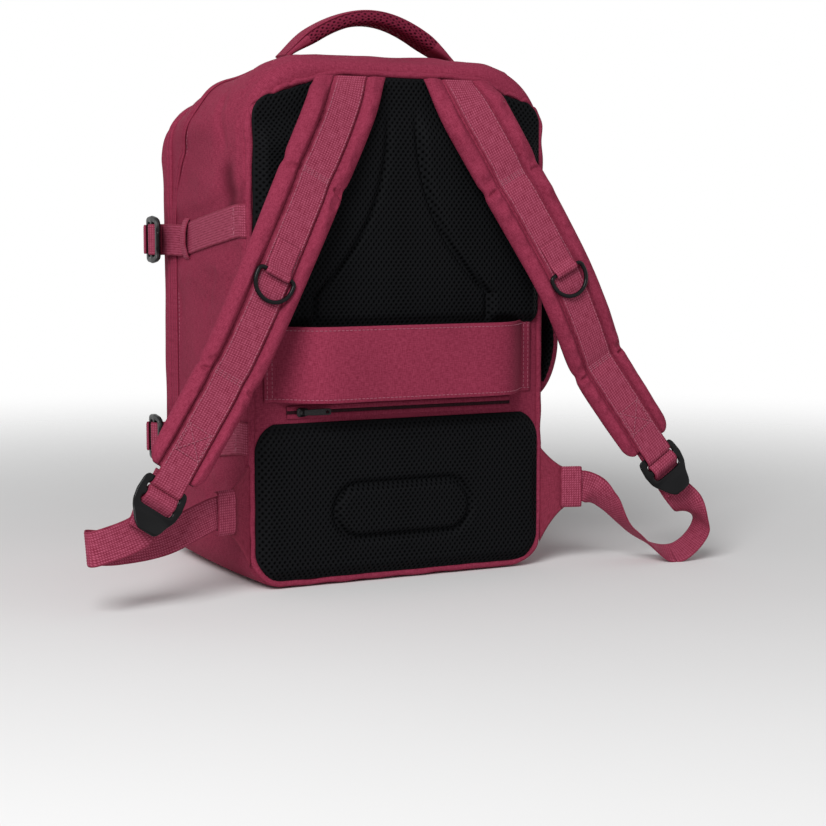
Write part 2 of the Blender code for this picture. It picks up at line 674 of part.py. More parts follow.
def make_strap(name, side):
    """A shoulder strap: its channelled pad, its webbing, its ring and its buckle."""
    last = len(STRAP_ROUTE) - 1
    numbers = [k / STRAP_STEPS for k in range(last * STRAP_STEPS + 1)]
    end = strap_station(side, last)[0]
    rings = []
    for number in numbers:
        centre, ahead, across, out = strap_station(side, number)
        w = STRAP_TOP_HALF_WIDTH + (STRAP_END_HALF_WIDTH - STRAP_TOP_HALF_WIDTH) * number / last
        near = max(0.0, 1 - (end - centre).length / STRAP_ROUND_END)
        w = STRAP_CHANNEL_HALF + (w - STRAP_CHANNEL_HALF) * math.sqrt(1 - 0.85 * near**2)
        t = strap_half_thick(number)
        lobe = (w + STRAP_CHANNEL_HALF) / 2
        section = [
            (-w, 0), (-0.4 * lobe - 0.6 * w, 0.75 * t), (-lobe, t),
            (-STRAP_CHANNEL_HALF, t - STRAP_CHANNEL), (STRAP_CHANNEL_HALF, t - STRAP_CHANNEL),
            (lobe, t), (0.4 * lobe + 0.6 * w, 0.75 * t), (w, 0),
            (0.85 * w, -0.75 * t), (0.5 * w, -t), (-0.5 * w, -t), (-0.85 * w, -0.75 * t),
        ]
        rings.append([centre + across * s + out * n for s, n in section])
    pad = loft(f"{name}_strap_pad", rings, woven)
    move_origin(pad, strap_station(side, 0)[0])

    centre, ahead, across, out = strap_station(side, last)
    level = webbing_height(last)
    pivot = centre + ahead * LOOP_REACH + out * (level - LOCK_PIVOT_CLEAR)
    path, widths = [], []
    for number in numbers[STRAP_STEPS:]:
        middle, _, width, away = strap_station(side, number)
        path.append(middle + away * webbing_height(number))
        widths.append(width)
    for k in range(9):
        angle = math.radians(90 - 180 * k / 8)
        turn = ahead * math.cos(angle) + out * math.sin(angle)
        path.append(pivot + turn * LOCK_PIVOT_CLEAR)
    path.append(path[-1] - ahead * (LOOP_REACH - WEB_THICK))
    widths += [across] * (len(path) - len(widths))
    strip = ribbon(f"{name}_strap_webbing", path, widths, WEB_WIDTH, webbing)
    move_origin(strip, strap_station(side, 0)[0])
    frame = lock_frame(pivot, ahead, out)
    ladder_lock(f"{name}_ladder_lock", frame)

    centre, ahead, across, out = strap_station(side, RING_STATION)
    surface = centre + out * (webbing_height(RING_STATION) + WEB_THICK / 2)
    bar = surface + out * (RING_WIRE + 2 * GAP)
    make_ring(f"{name}_d_ring", bar, across, ahead, out)
    reach = RING_WIRE + GAP + WEB_THICK / 2
    loop = [bar - ahead * reach * 3 - out * (RING_WIRE + 2 * GAP - WEB_THICK / 2 - GAP)]
    for k in range(7):
        angle = math.radians(-20 - 140 * k / 6)
        loop.append(bar - ahead * reach * math.cos(angle) - out * reach * math.sin(angle))
    loop[-1] += out * GAP
    strip = ribbon(f"{name}_d_ring_loop", loop, [across] * len(loop), RING_LOOP_WIDTH, webbing)
    move_origin(strip, strap_station(side, 0)[0])
    return frame


def make_ring(name, bar, across, ahead, out):
    """A bent-wire D: a straight bar in its loop and a bow that hangs down the strap."""
    half = RING_WIDTH / 2 + RING_WIRE
    bow = RING_DEPTH - half
    line = [(-half, 0), (0, 0), (half, 0), (half, bow)]
    line += arc((0, bow), half, 0, 180, 10)[1:] + [(-half, bow)]
    curve = bpy.data.curves.new(name, "CURVE")
    curve.dimensions = "3D"
    curve.bevel_depth = RING_WIRE
    curve.bevel_resolution = 2
    spline_line = curve.splines.new("POLY")
    spline_line.points.add(len(line) - 1)
    for point, (x, y) in zip(spline_line.points, line):
        point.co = (x, y, 0, 1)
    spline_line.use_cyclic_u = True
    ring = bpy.data.objects.new(name, curve)
    curve.materials.append(acetal)
    parts.objects.link(ring)
    ring.matrix_world = Matrix.Translation(bar) @ Matrix((across, ahead, out)).transposed().to_4x4()


def make_wing(name, side):
    """The gusset at the foot of the back seam; returns where its webbing leaves and points."""
    corner = math.sin(math.radians(45)) * BACK_EDGE_RADIUS
    root_x = BODY_WIDTH / 2 - BACK_EDGE_RADIUS + corner + GAP + WING_THICK / 2
    root_y = BACK_Y + BACK_EDGE_RADIUS - corner - GAP - WING_THICK / 2
    root = Vector((side * root_x, root_y, 0))
    end = root + Vector((side * WING_REACH, -WING_SET_BACK, 0))
    along = (end - root).normalized()
    out = Vector((0, 0, side)).cross(along) * WING_THICK / 2
    if out.y > 0:
        out = -out
    rings = []
    for k in range(6):
        share = k / 5
        hollow = share * (2 - share)
        low = WING_FOOT + (WING_END_Z - WING_END_HALF - WING_FOOT) * hollow
        high = WING_TOP + (WING_END_Z + WING_END_HALF - WING_TOP) * hollow
        middle = root + (end - root) * share
        corners = [(out, low), (-out, low), (-out, high), (out, high)]
        rings.append([middle + offset + Vector((0, 0, z)) for offset, z in corners])
    loft(f"{name}_wing", rings, woven)
    face = out.normalized() * (WING_THICK / 2 + GAP + WEB_THICK / 2)
    edge = end + Vector((0, 0, WING_END_Z)) + face
    return [edge - along * WEB_ON_WING, edge + along * WEB_OFF_WING], Vector((0, 0, 1))


def make_adjusting_web(name, side, slack, frame):
    """The webbing from a wing to a buckle: its slack hangs between, and its tail is in the buckle."""
    start, start_width = make_wing(name, side)
    threaded = threading(frame)
    width_in_lock = frame.to_3x3() @ Vector((-side, 0, 0))
    route, widths = list(start), [start_width, start_width]
    for share, move, width in slack:
        route.append(start[1].lerp(threaded[0], share) + Vector(move))
        widths.append(Vector(width).normalized())
    route += threaded
    widths += [width_in_lock] * len(threaded)
    path = spline(route, ADJUSTER_STEPS)
    ribbon(f"{name}_lower_webbing", path, eased(widths, ADJUSTER_STEPS), WEB_WIDTH, webbing)


def make_compression(name, side, z):
    """A strap across the side, its buckle on the lid and the sewn loop that holds the buckle."""
    out, down = Vector((side, 0, 0)), Vector((0, -1, 0))
    pivot_y = ZIP_Y + LID_FLAT + LOCK_PIVOT_CLEAR + WEB_THICK
    pivot = Vector((side * (half_width_at(ZIP_Y) + LOCK_STAND_OFF), pivot_y, z))
    frame = lock_frame(pivot, down, out)
    ladder_lock(f"{name}_ladder_lock", frame)
    up = frame.to_3x3() @ Vector((1, 0, 0))

    skin = GAP + WEB_THICK / 2
    sewn = half_width_at(ZIP_Y) + skin
    loop = [Vector((side * sewn, ZIP_Y + LID_GAP + WEB_THICK, z)), Vector((side * sewn, ZIP_Y + LID_FLAT, z))]
    for k in range(7):
        angle = math.radians(180 - 210 * k / 6)
        bend = Vector((side * math.cos(angle), math.sin(angle), 0)) * LOCK_PIVOT_CLEAR
        loop.append(pivot + bend)
    ribbon(f"{name}_loop", loop, [up] * len(loop), WEB_WIDTH, webbing)

    route = []
    begin, leave = BACK_Y + COMPRESSION_START, ZIP_Y - COMPRESSION_LIFT_OFF - LOCK_STAND_OFF
    for k in range(5):
        y = begin + (leave - begin) * k / 4
        climb = COMPRESSION_TILT * (1 - k / 4)
        route.append(Vector((side * (half_width_at(y) + skin), y, z + climb)))
    route += threading(frame)
    path = spline(route, WEB_STEPS)
    ribbon(f"{name}_strap", path, [up] * len(path), WEB_WIDTH, webbing)


def make_handle(name, seat, along, out, span, rise):
    """A padded arch that tips on its two round ends; its origin is between them on that axis."""
    along, out = Vector(along), Vector(out)
    across = along.cross(out)
    axis = Vector(seat) + out * (GAP + HANDLE_END_RADIUS)
    steps = 20
    middle = []
    for k in range(steps + 1):
        share = k / steps
        middle.append((span * (share - 0.5), rise * math.sin(math.pi * share) ** ARCH_FULLNESS))
    below = [(-span / 2, -HANDLE_END_RADIUS * d) for d in (0.98, 0.85, 0.5)]
    middle = below + middle + [(-a, h) for a, h in reversed(below)]
    rings = []
    for i, (a, h) in enumerate(middle):
        a0, h0 = middle[max(i - 1, 0)]
        a1, h1 = middle[min(i + 1, len(middle) - 1)]
        ahead = (along * (a1 - a0) + out * (h1 - h0)).normalized()
        normal = across.cross(ahead)
        if h < 0:
            w = math.sqrt(HANDLE_END_RADIUS**2 - h**2)
        else:
            w = min(HANDLE_HALF_WIDTH, HANDLE_END_RADIUS + HANDLE_WIDENING * h)
        t = HANDLE_HALF_THICK * (0.75 if h <= 0 else 1)
        section = [(-w, 0), (-0.75 * w, 0.8 * t), (0, t), (0.75 * w, 0.8 * t)]
        section += [(w, 0), (0.75 * w, -0.7 * t), (0, -0.8 * t), (-0.75 * w, -0.7 * t)]
        centre = axis + along * a + out * h
        rings.append([centre + across * s + normal * n for s, n in section])
    handle = loft(name, rings, woven)
    move_origin(handle, axis)


make_body()
make_back()
make_zips()
for strap_name, strap_side, strap_slack in (("left", -1, LEFT_SLACK), ("right", 1, RIGHT_SLACK)):
    buckle_frame = make_strap(strap_name, strap_side)
    make_adjusting_web(strap_name, strap_side, strap_slack, buckle_frame)
    for level_name, level_z in zip(COMPRESSION_NAMES, COMPRESSION_HEIGHTS):
        make_compression(f"{strap_name}_{level_name}_compression", strap_side, level_z)
make_handle("top_handle", (0, CROWN_Y, BODY_HEIGHT), (1, 0, 0), (0, 0, 1), HANDLE_SPAN, HANDLE_RISE)
side_seat = (half_width_at(SIDE_HANDLE_Y), SIDE_HANDLE_Y, SIDE_HANDLE_Z)
make_handle("side_handle", side_seat, (0, 0, 1), (1, 0, 0), SIDE_HANDLE_SPAN, SIDE_HANDLE_RISE)
bpy.context.view_layer.update()
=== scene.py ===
# %% [markdown]
# # Dressing a travel backpack
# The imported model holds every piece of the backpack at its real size. This lesson puts the looks
# over it: woven cloth, spacer mesh, webbing, sewn thread, zips and moulded buckles. Each new piece
# is a surface worked out with numpy on a grid of two parameters, in metres, where the frame says.

# %% Load the frame
import json
import math

import bpy
import numpy as np
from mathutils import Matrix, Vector


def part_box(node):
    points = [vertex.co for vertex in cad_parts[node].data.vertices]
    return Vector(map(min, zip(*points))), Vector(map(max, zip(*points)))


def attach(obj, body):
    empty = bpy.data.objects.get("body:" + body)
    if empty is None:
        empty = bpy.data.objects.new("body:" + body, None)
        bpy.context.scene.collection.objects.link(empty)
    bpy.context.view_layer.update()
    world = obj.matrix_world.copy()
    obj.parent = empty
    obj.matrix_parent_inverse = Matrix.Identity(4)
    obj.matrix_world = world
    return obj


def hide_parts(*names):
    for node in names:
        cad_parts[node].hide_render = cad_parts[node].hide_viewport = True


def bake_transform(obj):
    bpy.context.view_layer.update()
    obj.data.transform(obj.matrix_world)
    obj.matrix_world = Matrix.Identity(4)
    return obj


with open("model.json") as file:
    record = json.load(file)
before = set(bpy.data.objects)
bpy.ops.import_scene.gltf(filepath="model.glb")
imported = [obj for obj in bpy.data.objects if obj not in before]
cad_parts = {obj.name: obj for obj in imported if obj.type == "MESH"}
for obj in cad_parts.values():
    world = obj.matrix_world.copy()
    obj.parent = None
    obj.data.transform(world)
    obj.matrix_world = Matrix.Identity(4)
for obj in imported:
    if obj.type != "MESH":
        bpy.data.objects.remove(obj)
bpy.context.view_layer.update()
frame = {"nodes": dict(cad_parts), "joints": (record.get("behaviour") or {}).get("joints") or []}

joints = {joint["name"]: joint for joint in frame["joints"]}

# %% [markdown]
# ## Measures
# A soft bag is easiest to describe by a few sizes: how wide, how high and how deep it is, and how
# its edges are rounded. The outer sizes are read from the frame, so that the cloth goes where the
# solids are. The roundings are those that the solids were made with.

# %% Measures of the body
def corners(node):
    """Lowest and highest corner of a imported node, as two arrays."""
    low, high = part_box(node)
    return np.array(low), np.array(high)


tub_low, tub_high = corners("main_shell")
lid_low, lid_high = corners("front_panel")
BACK_Y, ZIP_Y = tub_low[1], tub_high[1]
LID_Y, FRONT_Y = lid_low[1], lid_high[1]
SIDE_BULGE = 0.003
BODY_HALF = tub_high[0] - SIDE_BULGE
BODY_TOP = tub_high[2]
CROWN_Y = -0.030
BACK_DROP = 0.010
FRONT_DROP = 0.017
TOP_RADIUS = 0.055
BASE_RADIUS = 0.030
LEAST_RADIUS = 0.004
BACK_ROLL = 0.008
LID_ROLL = 0.020
WALL = 0.003
GAP = 0.0003
NUDGE = 0.001
UP, FRONTWARDS = np.array([0.0, 0.0, 1.0]), np.array([0.0, 1.0, 0.0])
SIDES = (("left", -1), ("right", 1))
print("body", round(2 * BODY_HALF, 4), "wide", round(BODY_TOP, 4), "high")

# %% [markdown]
# ## Small tools for whole arrays
# Every surface below uses the same few steps: an eased ramp, unit vectors, a smooth line through
# chosen points, points set evenly along a line, and a smooth random swell for slack cloth. They
# work on whole arrays, which is much faster in Python than going from vertex to vertex.

# %% Array tools
def smooth(t):
    """0 below 0, 1 above 1, and 3 t squared less 2 t cubed between."""
    t = np.clip(t, 0, 1)
    return t * t * (3 - 2 * t)


def unit(vectors):
    """Each vector of an array, made one long."""
    return vectors / np.linalg.norm(vectors, axis=-1, keepdims=True)


def ramp(value, start, run):
    """An eased ramp: 0 up to the start, and 1 once the run is over."""
    return smooth((value - start) / run)


def bell(value, width):
    """1 at 0, falling off on both sides as e to the power of minus (value / width) squared."""
    return np.exp(-((value / width) ** 2))


def spread(way, path):
    """One direction for every point of a path."""
    return np.broadcast_to(np.array(way, float), path.shape)


def through(points, steps):
    """A smooth line through points: on each span a cubic whose slopes are half its neighbours' chords."""
    points = np.asarray(points, float)
    full = np.concatenate([[2 * points[0] - points[1]], points, [2 * points[-1] - points[-2]]])
    a, b, c, d = (full[k:len(full) - 3 + k, None] for k in range(4))
    t = (np.arange(steps) / steps)[None, :, None]
    bend = (2 * a - 5 * b + 4 * c - d) * t**2 + (3 * b - a - 3 * c + d) * t**3
    line = (2 * b + (c - a) * t + bend) / 2
    return np.concatenate([line.reshape(-1, points.shape[1]), points[-1:]])


def eased(ways, steps):
    """Directions that turn from each given one to the next by an eased ramp."""
    ways = np.asarray(ways, float)
    t = smooth(np.arange(steps) / steps)[None, :, None]
    line = ways[:-1, None] * (1 - t) + ways[1:, None] * t
    return np.concatenate([line.reshape(-1, 3), ways[-1:]])


def run_of(path):
    """The distance along a line at each of its points."""
    steps = np.linalg.norm(np.diff(path, axis=0), axis=1)
    return np.concatenate([[0], np.cumsum(steps)])


def evenly(spacing, path, *followers):
    """A line, and what goes with it, read again at points that lie evenly along the line."""
    run = run_of(path)
    at = np.linspace(0, run[-1], max(round(run[-1] / spacing), 2) + 1)
    read = [[np.interp(at, run, column) for column in np.asarray(v, float).T] for v in (path, *followers)]
    return [np.stack(columns, axis=1) for columns in read]


def swell(points, size, seed, waves=14):
    """A smooth random height of about -1 to 1: the sum of seeded plane waves of about that size."""
    rng = np.random.default_rng(seed)
    ways = unit(rng.normal(size=(waves, 3))) * rng.uniform(0.6, 1.5, (waves, 1)) * 2 * np.pi / size
    phase = rng.uniform(0, 2 * np.pi, waves)
    return np.cos(points @ ways.T + phase).sum(-1) / math.sqrt(waves)


def swells(points, table):
    """The sum of several swells, each given by its height, its size and its seed."""
    return sum(height * swell(points, size, seed) for height, size, seed in table)


def fold(p, q, start, end, width):
    """1 on the line from start to end in the plane (p, q), falling off beside it as a bell."""
    start = np.array(start)
    way = np.array(end) - start
    t = np.clip(((p - start[0]) * way[0] + (q - start[1]) * way[1]) / (way @ way), 0, 1)
    away = np.hypot(p - start[0] - t * way[0], q - start[1] - t * way[1])
    return bell(away, width)


def outwards(grid):
    """The way out of a grid whose columns go round: across its rows, crossed with along them."""
    closed = np.concatenate([grid[:, -1:], grid, grid[:, :1]], axis=1)
    along = np.gradient(closed, axis=1)[:, 1:-1]
    return unit(np.cross(along, np.gradient(grid, axis=0)))

# %% [markdown]
# ## From a grid of points to a mesh
# Nearly every piece here is a closed tube in disguise: a bag, a pad, a strap and a ring all have
# columns that go round and meet again. So one function makes them all. It joins neighbours into
# quads, closes the ends, turns the faces outwards and writes a UV map in metres, which the woven
# finishes need so that their threads follow the cloth.

# %% Skin over a grid
def run_uv(grid, loop):
    """A UV grid in metres: the mean run along the columns, and along the rows."""
    closed = np.concatenate([grid, grid[:, :1]], axis=1)
    if loop:
        closed = np.concatenate([closed, closed[:1]])
    across = np.linalg.norm(np.diff(closed, axis=1), axis=2).mean(0)
    along = np.linalg.norm(np.diff(closed, axis=0), axis=2).mean(1)
    u, v = np.meshgrid(np.append(0, np.cumsum(across)), np.append(0, np.cumsum(along)))
    return np.stack([u, v], axis=-1)


def quads_of(index):
    """The four corners of each cell of a grid of numbers."""
    cells = [index[:-1, :-1], index[:-1, 1:], index[1:, 1:], index[1:, :-1]]
    return np.stack(cells, axis=-1).reshape(-1, 4)


def skin(name, grid, finishes, loop=False, uv=None, paint=None, marks=None):
    """A closed mesh over a (rows, columns, 3) grid whose columns go round.

    With loop the rows meet again too, and otherwise a face closes either end. The faces point out
    when the volume they enclose, the sum of a . (b x c), is above 0. Paint is the number of the
    finish of each cell, and marks are values at the points for the finishes to read.
    """
    rows, columns = grid.shape[:2]
    index = np.arange(rows * columns).reshape(rows, columns)
    ring = np.concatenate([index, index[:, :1]], axis=1)
    if loop:
        ring = np.concatenate([ring, ring[:1]])
    uv = run_uv(grid, loop) if uv is None else uv
    faces = quads_of(ring)
    spots = quads_of(np.arange(uv.shape[0] * uv.shape[1]).reshape(uv.shape[:2]))
    flat = grid.reshape(-1, 3)
    a, b, c, d = (flat[faces[:, k]] - flat.mean(0) for k in range(4))
    turned = (a * (np.cross(b, c) + np.cross(c, d))).sum() < 0
    ends = [] if loop else [index[0, ::-1], index[-1]]
    if turned:
        faces, spots, ends = faces[:, ::-1], spots[:, ::-1], [end[::-1] for end in ends]
    mesh = bpy.data.meshes.new(name)
    mesh.from_pydata(flat.tolist(), [], faces.tolist() + [end.tolist() for end in ends])
    layer = mesh.uv_layers.new(name="UVMap")
    end_uv = np.zeros((columns * len(ends), 2))
    face_uv = uv.reshape(-1, 2)[spots].reshape(-1, 2)
    layer.data.foreach_set("uv", np.concatenate([face_uv, end_uv]).ravel())
    if paint is not None:
        cells = np.broadcast_to(paint, (len(ring) - 1, columns)).ravel()
        cells = np.append(cells, [cells[0], cells[-1]][:len(ends)]).astype(np.int32)
        mesh.polygons.foreach_set("material_index", cells)
    for mark, values in (marks or {}).items():
        attribute = mesh.attributes.new(mark, "FLOAT", "POINT")
        values = np.broadcast_to(values, (rows, columns)).ravel()
        attribute.data.foreach_set("value", values.astype(np.float32))
    return place(name, mesh, finishes)


def place(name, mesh, finishes):
    """A mesh as an object of the scene, shaded smooth, with its finishes."""
    mesh.update()
    mesh.shade_smooth()
    for finish in finishes:
        mesh.materials.append(finish)
    piece = bpy.data.objects.new(name, mesh)
    bpy.context.scene.collection.objects.link(piece)
    return piece


def dress(piece, body, slot, *nodes):
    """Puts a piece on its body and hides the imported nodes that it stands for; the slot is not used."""
    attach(piece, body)
    if nodes:
        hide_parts(*nodes)
    print(f"{piece.name}: {len(piece.data.polygons)} faces on {body}")
    return piece

# %% [markdown]
# ## Finishes
# A finish is a small network of shader nodes. Cloth gets two sets of threads, one along each
# direction of its UV map, with the uneven colour of melange yarn, and reads a mark of painted shade in its
# folds.
# Webbing and mesh read marks that their geometry leaves at its points, so that a painted highlight sits
# exactly on the ribs and painted shade in the holes.

# %% Shader helpers
def add(tree, kind, inputs=None, **settings):
    """One shader node: its settings, and for its inputs either values or other nodes' outputs."""
    node = tree.nodes.new("ShaderNode" + kind)
    for key, value in settings.items():
        setattr(node, key, value)
    for key, value in (inputs or {}).items():
        if isinstance(value, bpy.types.NodeSocket):
            tree.links.new(value, node.inputs[key])
        else:
            node.inputs[key].default_value = value
    return node


MIX_A, MIX_B, MIX_OUT = 6, 7, 2


def blend_colours(tree, share, first, second, kind="MIX"):
    """A colour between two by a share, or one multiplied by the other."""
    inputs = {0: share, MIX_A: first, MIX_B: second}
    return add(tree, "Mix", inputs, data_type="RGBA", blend_type=kind).outputs[MIX_OUT]


def new_finish(name, roughness, sockets):
    """An empty finish: its material, its tree and its surface shader with constant values set."""
    material = bpy.data.materials.new(name)
    material.use_nodes = True
    tree = material.node_tree
    surface = tree.nodes["Principled BSDF"]
    surface.inputs["Roughness"].default_value = roughness
    for socket, value in sockets.items():
        surface.inputs[socket].default_value = value
    return material, tree, surface


def maths(tree, operation, first, second):
    """The sum, the product or the greater of two numbers."""
    return add(tree, "Math", {0: first, 1: second}, operation=operation).outputs[0]


def noise(tree, vector, scale, detail=2.0):
    """Cloudy noise of about 0 to 1 on coordinates."""
    return add(tree, "TexNoise", {"Vector": vector, "Scale": scale, "Detail": detail}).outputs["Fac"]


def streaks(tree, vector, scale):
    """Noise on coordinates scaled by three numbers, which makes streaks where they differ."""
    return noise(tree, add(tree, "Mapping", {"Vector": vector, "Scale": scale}).outputs[0], 1.0)


def ranged(tree, value, low, high, to_low=0.0, to_high=1.0):
    """A value carried in a straight line from one range to another, and held at its ends."""
    inputs = {"Value": value, "From Min": low, "From Max": high, "To Min": to_low, "To Max": to_high}
    return add(tree, "MapRange", inputs).outputs[0]


def raised(tree, surface, height, distance, strength):
    """A bump on a surface from a height."""
    bump = add(tree, "Bump", {"Height": height, "Distance": distance, "Strength": strength})
    tree.links.new(bump.outputs["Normal"], surface.inputs["Normal"])


def coloured(tree, surface, share, first, second):
    """Gives a surface a colour between two by a share."""
    tree.links.new(blend_colours(tree, share, first, second), surface.inputs["Base Color"])

# %% Cloth, webbing, mesh, plastic, metal and thread
# How dark the painted shade in folds is, as a share of the dark yarn's colour.
CREASE_SHADE = 0.35
YARN_PITCH, YARN_FINE, YARN_LONG = 0.0008, 1.3, 0.20
YARN_RANGE = (0.78, 1.22)
FADE_SCALE, FADE_RANGE, FADE_SHADES = 9.0, (0.3, 0.7), (0.92, 1.08)
WAVE_SCALE = 0.314


def woven_cloth(name, dark, light, roughness=0.75, gloss=0.05):
    """Plain weave of melange yarn: streaks along both directions, and a bump of crossing threads.

    The fold mark paints shade into the colour: it is 1 at the bottom of a fold, where less light gets in, and
    0 on open cloth.
    """
    sockets = {"Sheen Weight": 0.02, "Sheen Tint": light, "Specular IOR Level": gloss}
    material, tree, surface = new_finish(name, roughness, sockets)
    where = add(tree, "TexCoord").outputs
    fine, long = YARN_FINE / YARN_PITCH, YARN_LONG / YARN_PITCH
    scales = ((fine, long, 1.0), (long, fine, 1.0))
    both = maths(tree, "ADD", *(streaks(tree, where["UV"], scale) for scale in scales))
    colour = blend_colours(tree, ranged(tree, both, *YARN_RANGE), dark, light)
    shade = ranged(tree, noise(tree, where["Object"], FADE_SCALE, 3.0), *FADE_RANGE, *FADE_SHADES)
    grey = add(tree, "CombineColor", {k: shade for k in range(3)}).outputs[0]
    colour = blend_colours(tree, 1.0, colour, grey, "MULTIPLY")
    # Painted shade: where the fold mark is 1, the colour goes to a share of the dark yarn's colour.
    fold_shade = add(tree, "Attribute", attribute_name="fold_shade").outputs["Fac"]
    coloured(tree, surface, fold_shade, colour, [CREASE_SHADE * part for part in dark[:3]] + [1])
    mapping = {"Vector": where["UV"], "Scale": (1 / YARN_PITCH, 1 / YARN_PITCH, 1.0)}
    wave = {"Vector": add(tree, "Mapping", mapping).outputs[0], "Scale": WAVE_SCALE}
    warp, weft = (add(tree, "TexWave", wave, bands_direction=way).outputs["Fac"] for way in ("X", "Y"))
    uneven = maths(tree, "MULTIPLY", maths(tree, "MULTIPLY", warp, weft), both)
    raised(tree, surface, uneven, 0.25 * YARN_PITCH, 0.6)
    return material


def ribbed_webbing(name, dark, light):
    """Webbing: a mark that is 1 on its ribs and 0 between them paints a highlight on the ribs and shade
    between them; streaks of yarn run along it.
    """
    sockets = {"Sheen Weight": 0.03, "Sheen Tint": light, "Specular IOR Level": 0.06}
    material, tree, surface = new_finish(name, 0.62, sockets)
    rib_highlight = add(tree, "Attribute", attribute_name="rib_highlight").outputs["Fac"]
    yarn = streaks(tree, add(tree, "TexCoord").outputs["UV"], (900.0, 160.0, 1.0))
    # Painted highlight and shade: the ribs go towards the light colour, the rest towards the dark one.
    coloured(tree, surface, ranged(tree, maths(tree, "ADD", rib_highlight, yarn), 0.35, 1.35), dark, light)
    raised(tree, surface, yarn, 0.00012, 0.6)
    return material


def spacer_mesh(name, strand, hole_and_shade):
    """Spacer mesh: a mark that is 1 at the bottom of each hole and 0 on the strands round it paints shade into
    the holes.
    """
    material, tree, surface = new_finish(name, 0.60, {"Specular IOR Level": 0.02})
    # Painted shade: the bottom of each hole goes to the dark second colour.
    coloured(tree, surface, add(tree, "Attribute", attribute_name="hole_and_shade").outputs["Fac"], strand, hole_and_shade)
    raised(tree, surface, noise(tree, add(tree, "TexCoord").outputs["Object"], 2600.0), 0.0002, 0.5)
    return material


def moulded_plastic(name, colour, worn, roughness):
    """Moulded plastic: a satin gloss with a fine grain, slightly paler in large soft patches."""
    material, tree, surface = new_finish(name, roughness, {"Specular IOR Level": 0.13})
    where = add(tree, "TexCoord").outputs["Object"]
    patch = noise(tree, where, 60.0, 4.0)
    coloured(tree, surface, patch, colour, worn)
    gloss = ranged(tree, patch, 0.0, 1.0, roughness - 0.08, roughness + 0.1)
    tree.links.new(gloss, surface.inputs["Roughness"])
    raised(tree, surface, noise(tree, where, 1500.0, 1.0), 0.00005, 0.35)
    return material


def lacquered_metal(name, colour, bare):
    """Lacquered zinc: dark, with the metal showing a little in worn specks."""
    material, tree, surface = new_finish(name, 0.38, {"Metallic": 0.7})
    speck = noise(tree, add(tree, "TexCoord").outputs["Object"], 900.0, 3.0)
    coloured(tree, surface, ranged(tree, speck, 0.6, 0.75), colour, bare)
    raised(tree, surface, speck, 0.00004, 0.4)
    return material


def sewing_thread(name, dark, light):
    """Twisted thread: fine noise between two shades."""
    material, tree, surface = new_finish(name, 0.6, {"Specular IOR Level": 0.2})
    twist = noise(tree, add(tree, "TexCoord").outputs["Object"], 1800.0, 1.0)
    coloured(tree, surface, twist, dark, light)
    raised(tree, surface, twist, 0.0001, 0.5)
    return material


BURGUNDY_DARK = (0.215, 0.022, 0.050, 1)
BURGUNDY_LIGHT = (0.330, 0.045, 0.090, 1)
cloth = woven_cloth("burgundy_cloth", BURGUNDY_DARK, BURGUNDY_LIGHT)
flap_cloth = woven_cloth("burgundy_flap", (0.170, 0.014, 0.034, 1), (0.260, 0.030, 0.064, 1), 0.5, 0.15)
lining = woven_cloth("grey_lining", (0.018, 0.018, 0.020, 1), (0.045, 0.045, 0.050, 1))
# Painted light in these colours: the webbing's light colour is a highlight on its ribs, and each mesh's second
# colour is the shade in its holes.
webbing = ribbed_webbing("burgundy_webbing", (0.195, 0.019, 0.043, 1), (0.470, 0.098, 0.168, 1))
black_mesh = spacer_mesh("black_mesh", (0.0085, 0.0088, 0.0098, 1), (0.0002, 0.0002, 0.0003, 1))
burgundy_mesh = spacer_mesh("burgundy_mesh", (0.200, 0.021, 0.048, 1), (0.030, 0.003, 0.008, 1))
plastic = moulded_plastic("black_plastic", (0.004, 0.004, 0.0045, 1), (0.007, 0.007, 0.008, 1), 0.18)
metal = lacquered_metal("black_metal", (0.016, 0.015, 0.016, 1), (0.10, 0.095, 0.095, 1))
coil_plastic = moulded_plastic("zip_coil", (0.020, 0.003, 0.006, 1), (0.036, 0.006, 0.012, 1), 0.45)
thread = sewing_thread("burgundy_thread", (0.30, 0.055, 0.10, 1), (0.52, 0.19, 0.26, 1))
board = moulded_plastic("board", (0.022, 0.022, 0.024, 1), (0.035, 0.035, 0.037, 1), 0.55)

# %% [markdown]
# ## The body of the bag
# The bag is a tub with a lid, both sewn from cloth over thin foam. Blender's own way would be a
# box with bevels and a shell modifier, but the ring of the body changes with depth, so it is
# written as a formula: straight sides joined by quarter circles. Rows of such rings run from the
# middle of the back, round its rolled edge, along the sides to the zip, and back inside.

# %% Rings of the body
SIDE_COUNT, CORNER_COUNT, TOP_COUNT, FOOT_COUNT, BASE_COUNT = 180, 40, 60, 16, 60
SLUMP, SLUMP_START, SLUMP_RUN, SLUMP_FOOT, SLUMP_RISE = 0.014, 0.047, 0.050, 0.300, 0.085
SLUMP_BACK, SLUMP_AHEAD = 0.015, 0.060
CORNER_FULL, CORNER_OUT, CORNER_UP, CORNER_RAMP = 0.0030, 0.085, 0.335, 0.030


def half_width(y):
    """Half the body's width: a parabola that is widest midway between the back and the zip."""
    share = (y - BACK_Y) / (ZIP_Y - BACK_Y)
    return BODY_HALF + SIDE_BULGE * np.maximum(0, 4 * share * (1 - share))


def top_height(y):
    """The height of the top: one parabola drops to the back and another to the front."""
    behind = y < CROWN_Y
    drop = np.where(behind, BACK_DROP, FRONT_DROP)
    span = np.where(behind, CROWN_Y - BACK_Y, ZIP_Y - CROWN_Y)
    return BODY_TOP - drop * ((y - CROWN_Y) / span) ** 2


def turn(start, end, count):
    """Angles from start towards end in equal steps, without the last, in radians."""
    return np.radians(start + (end - start) * np.arange(count) / count)


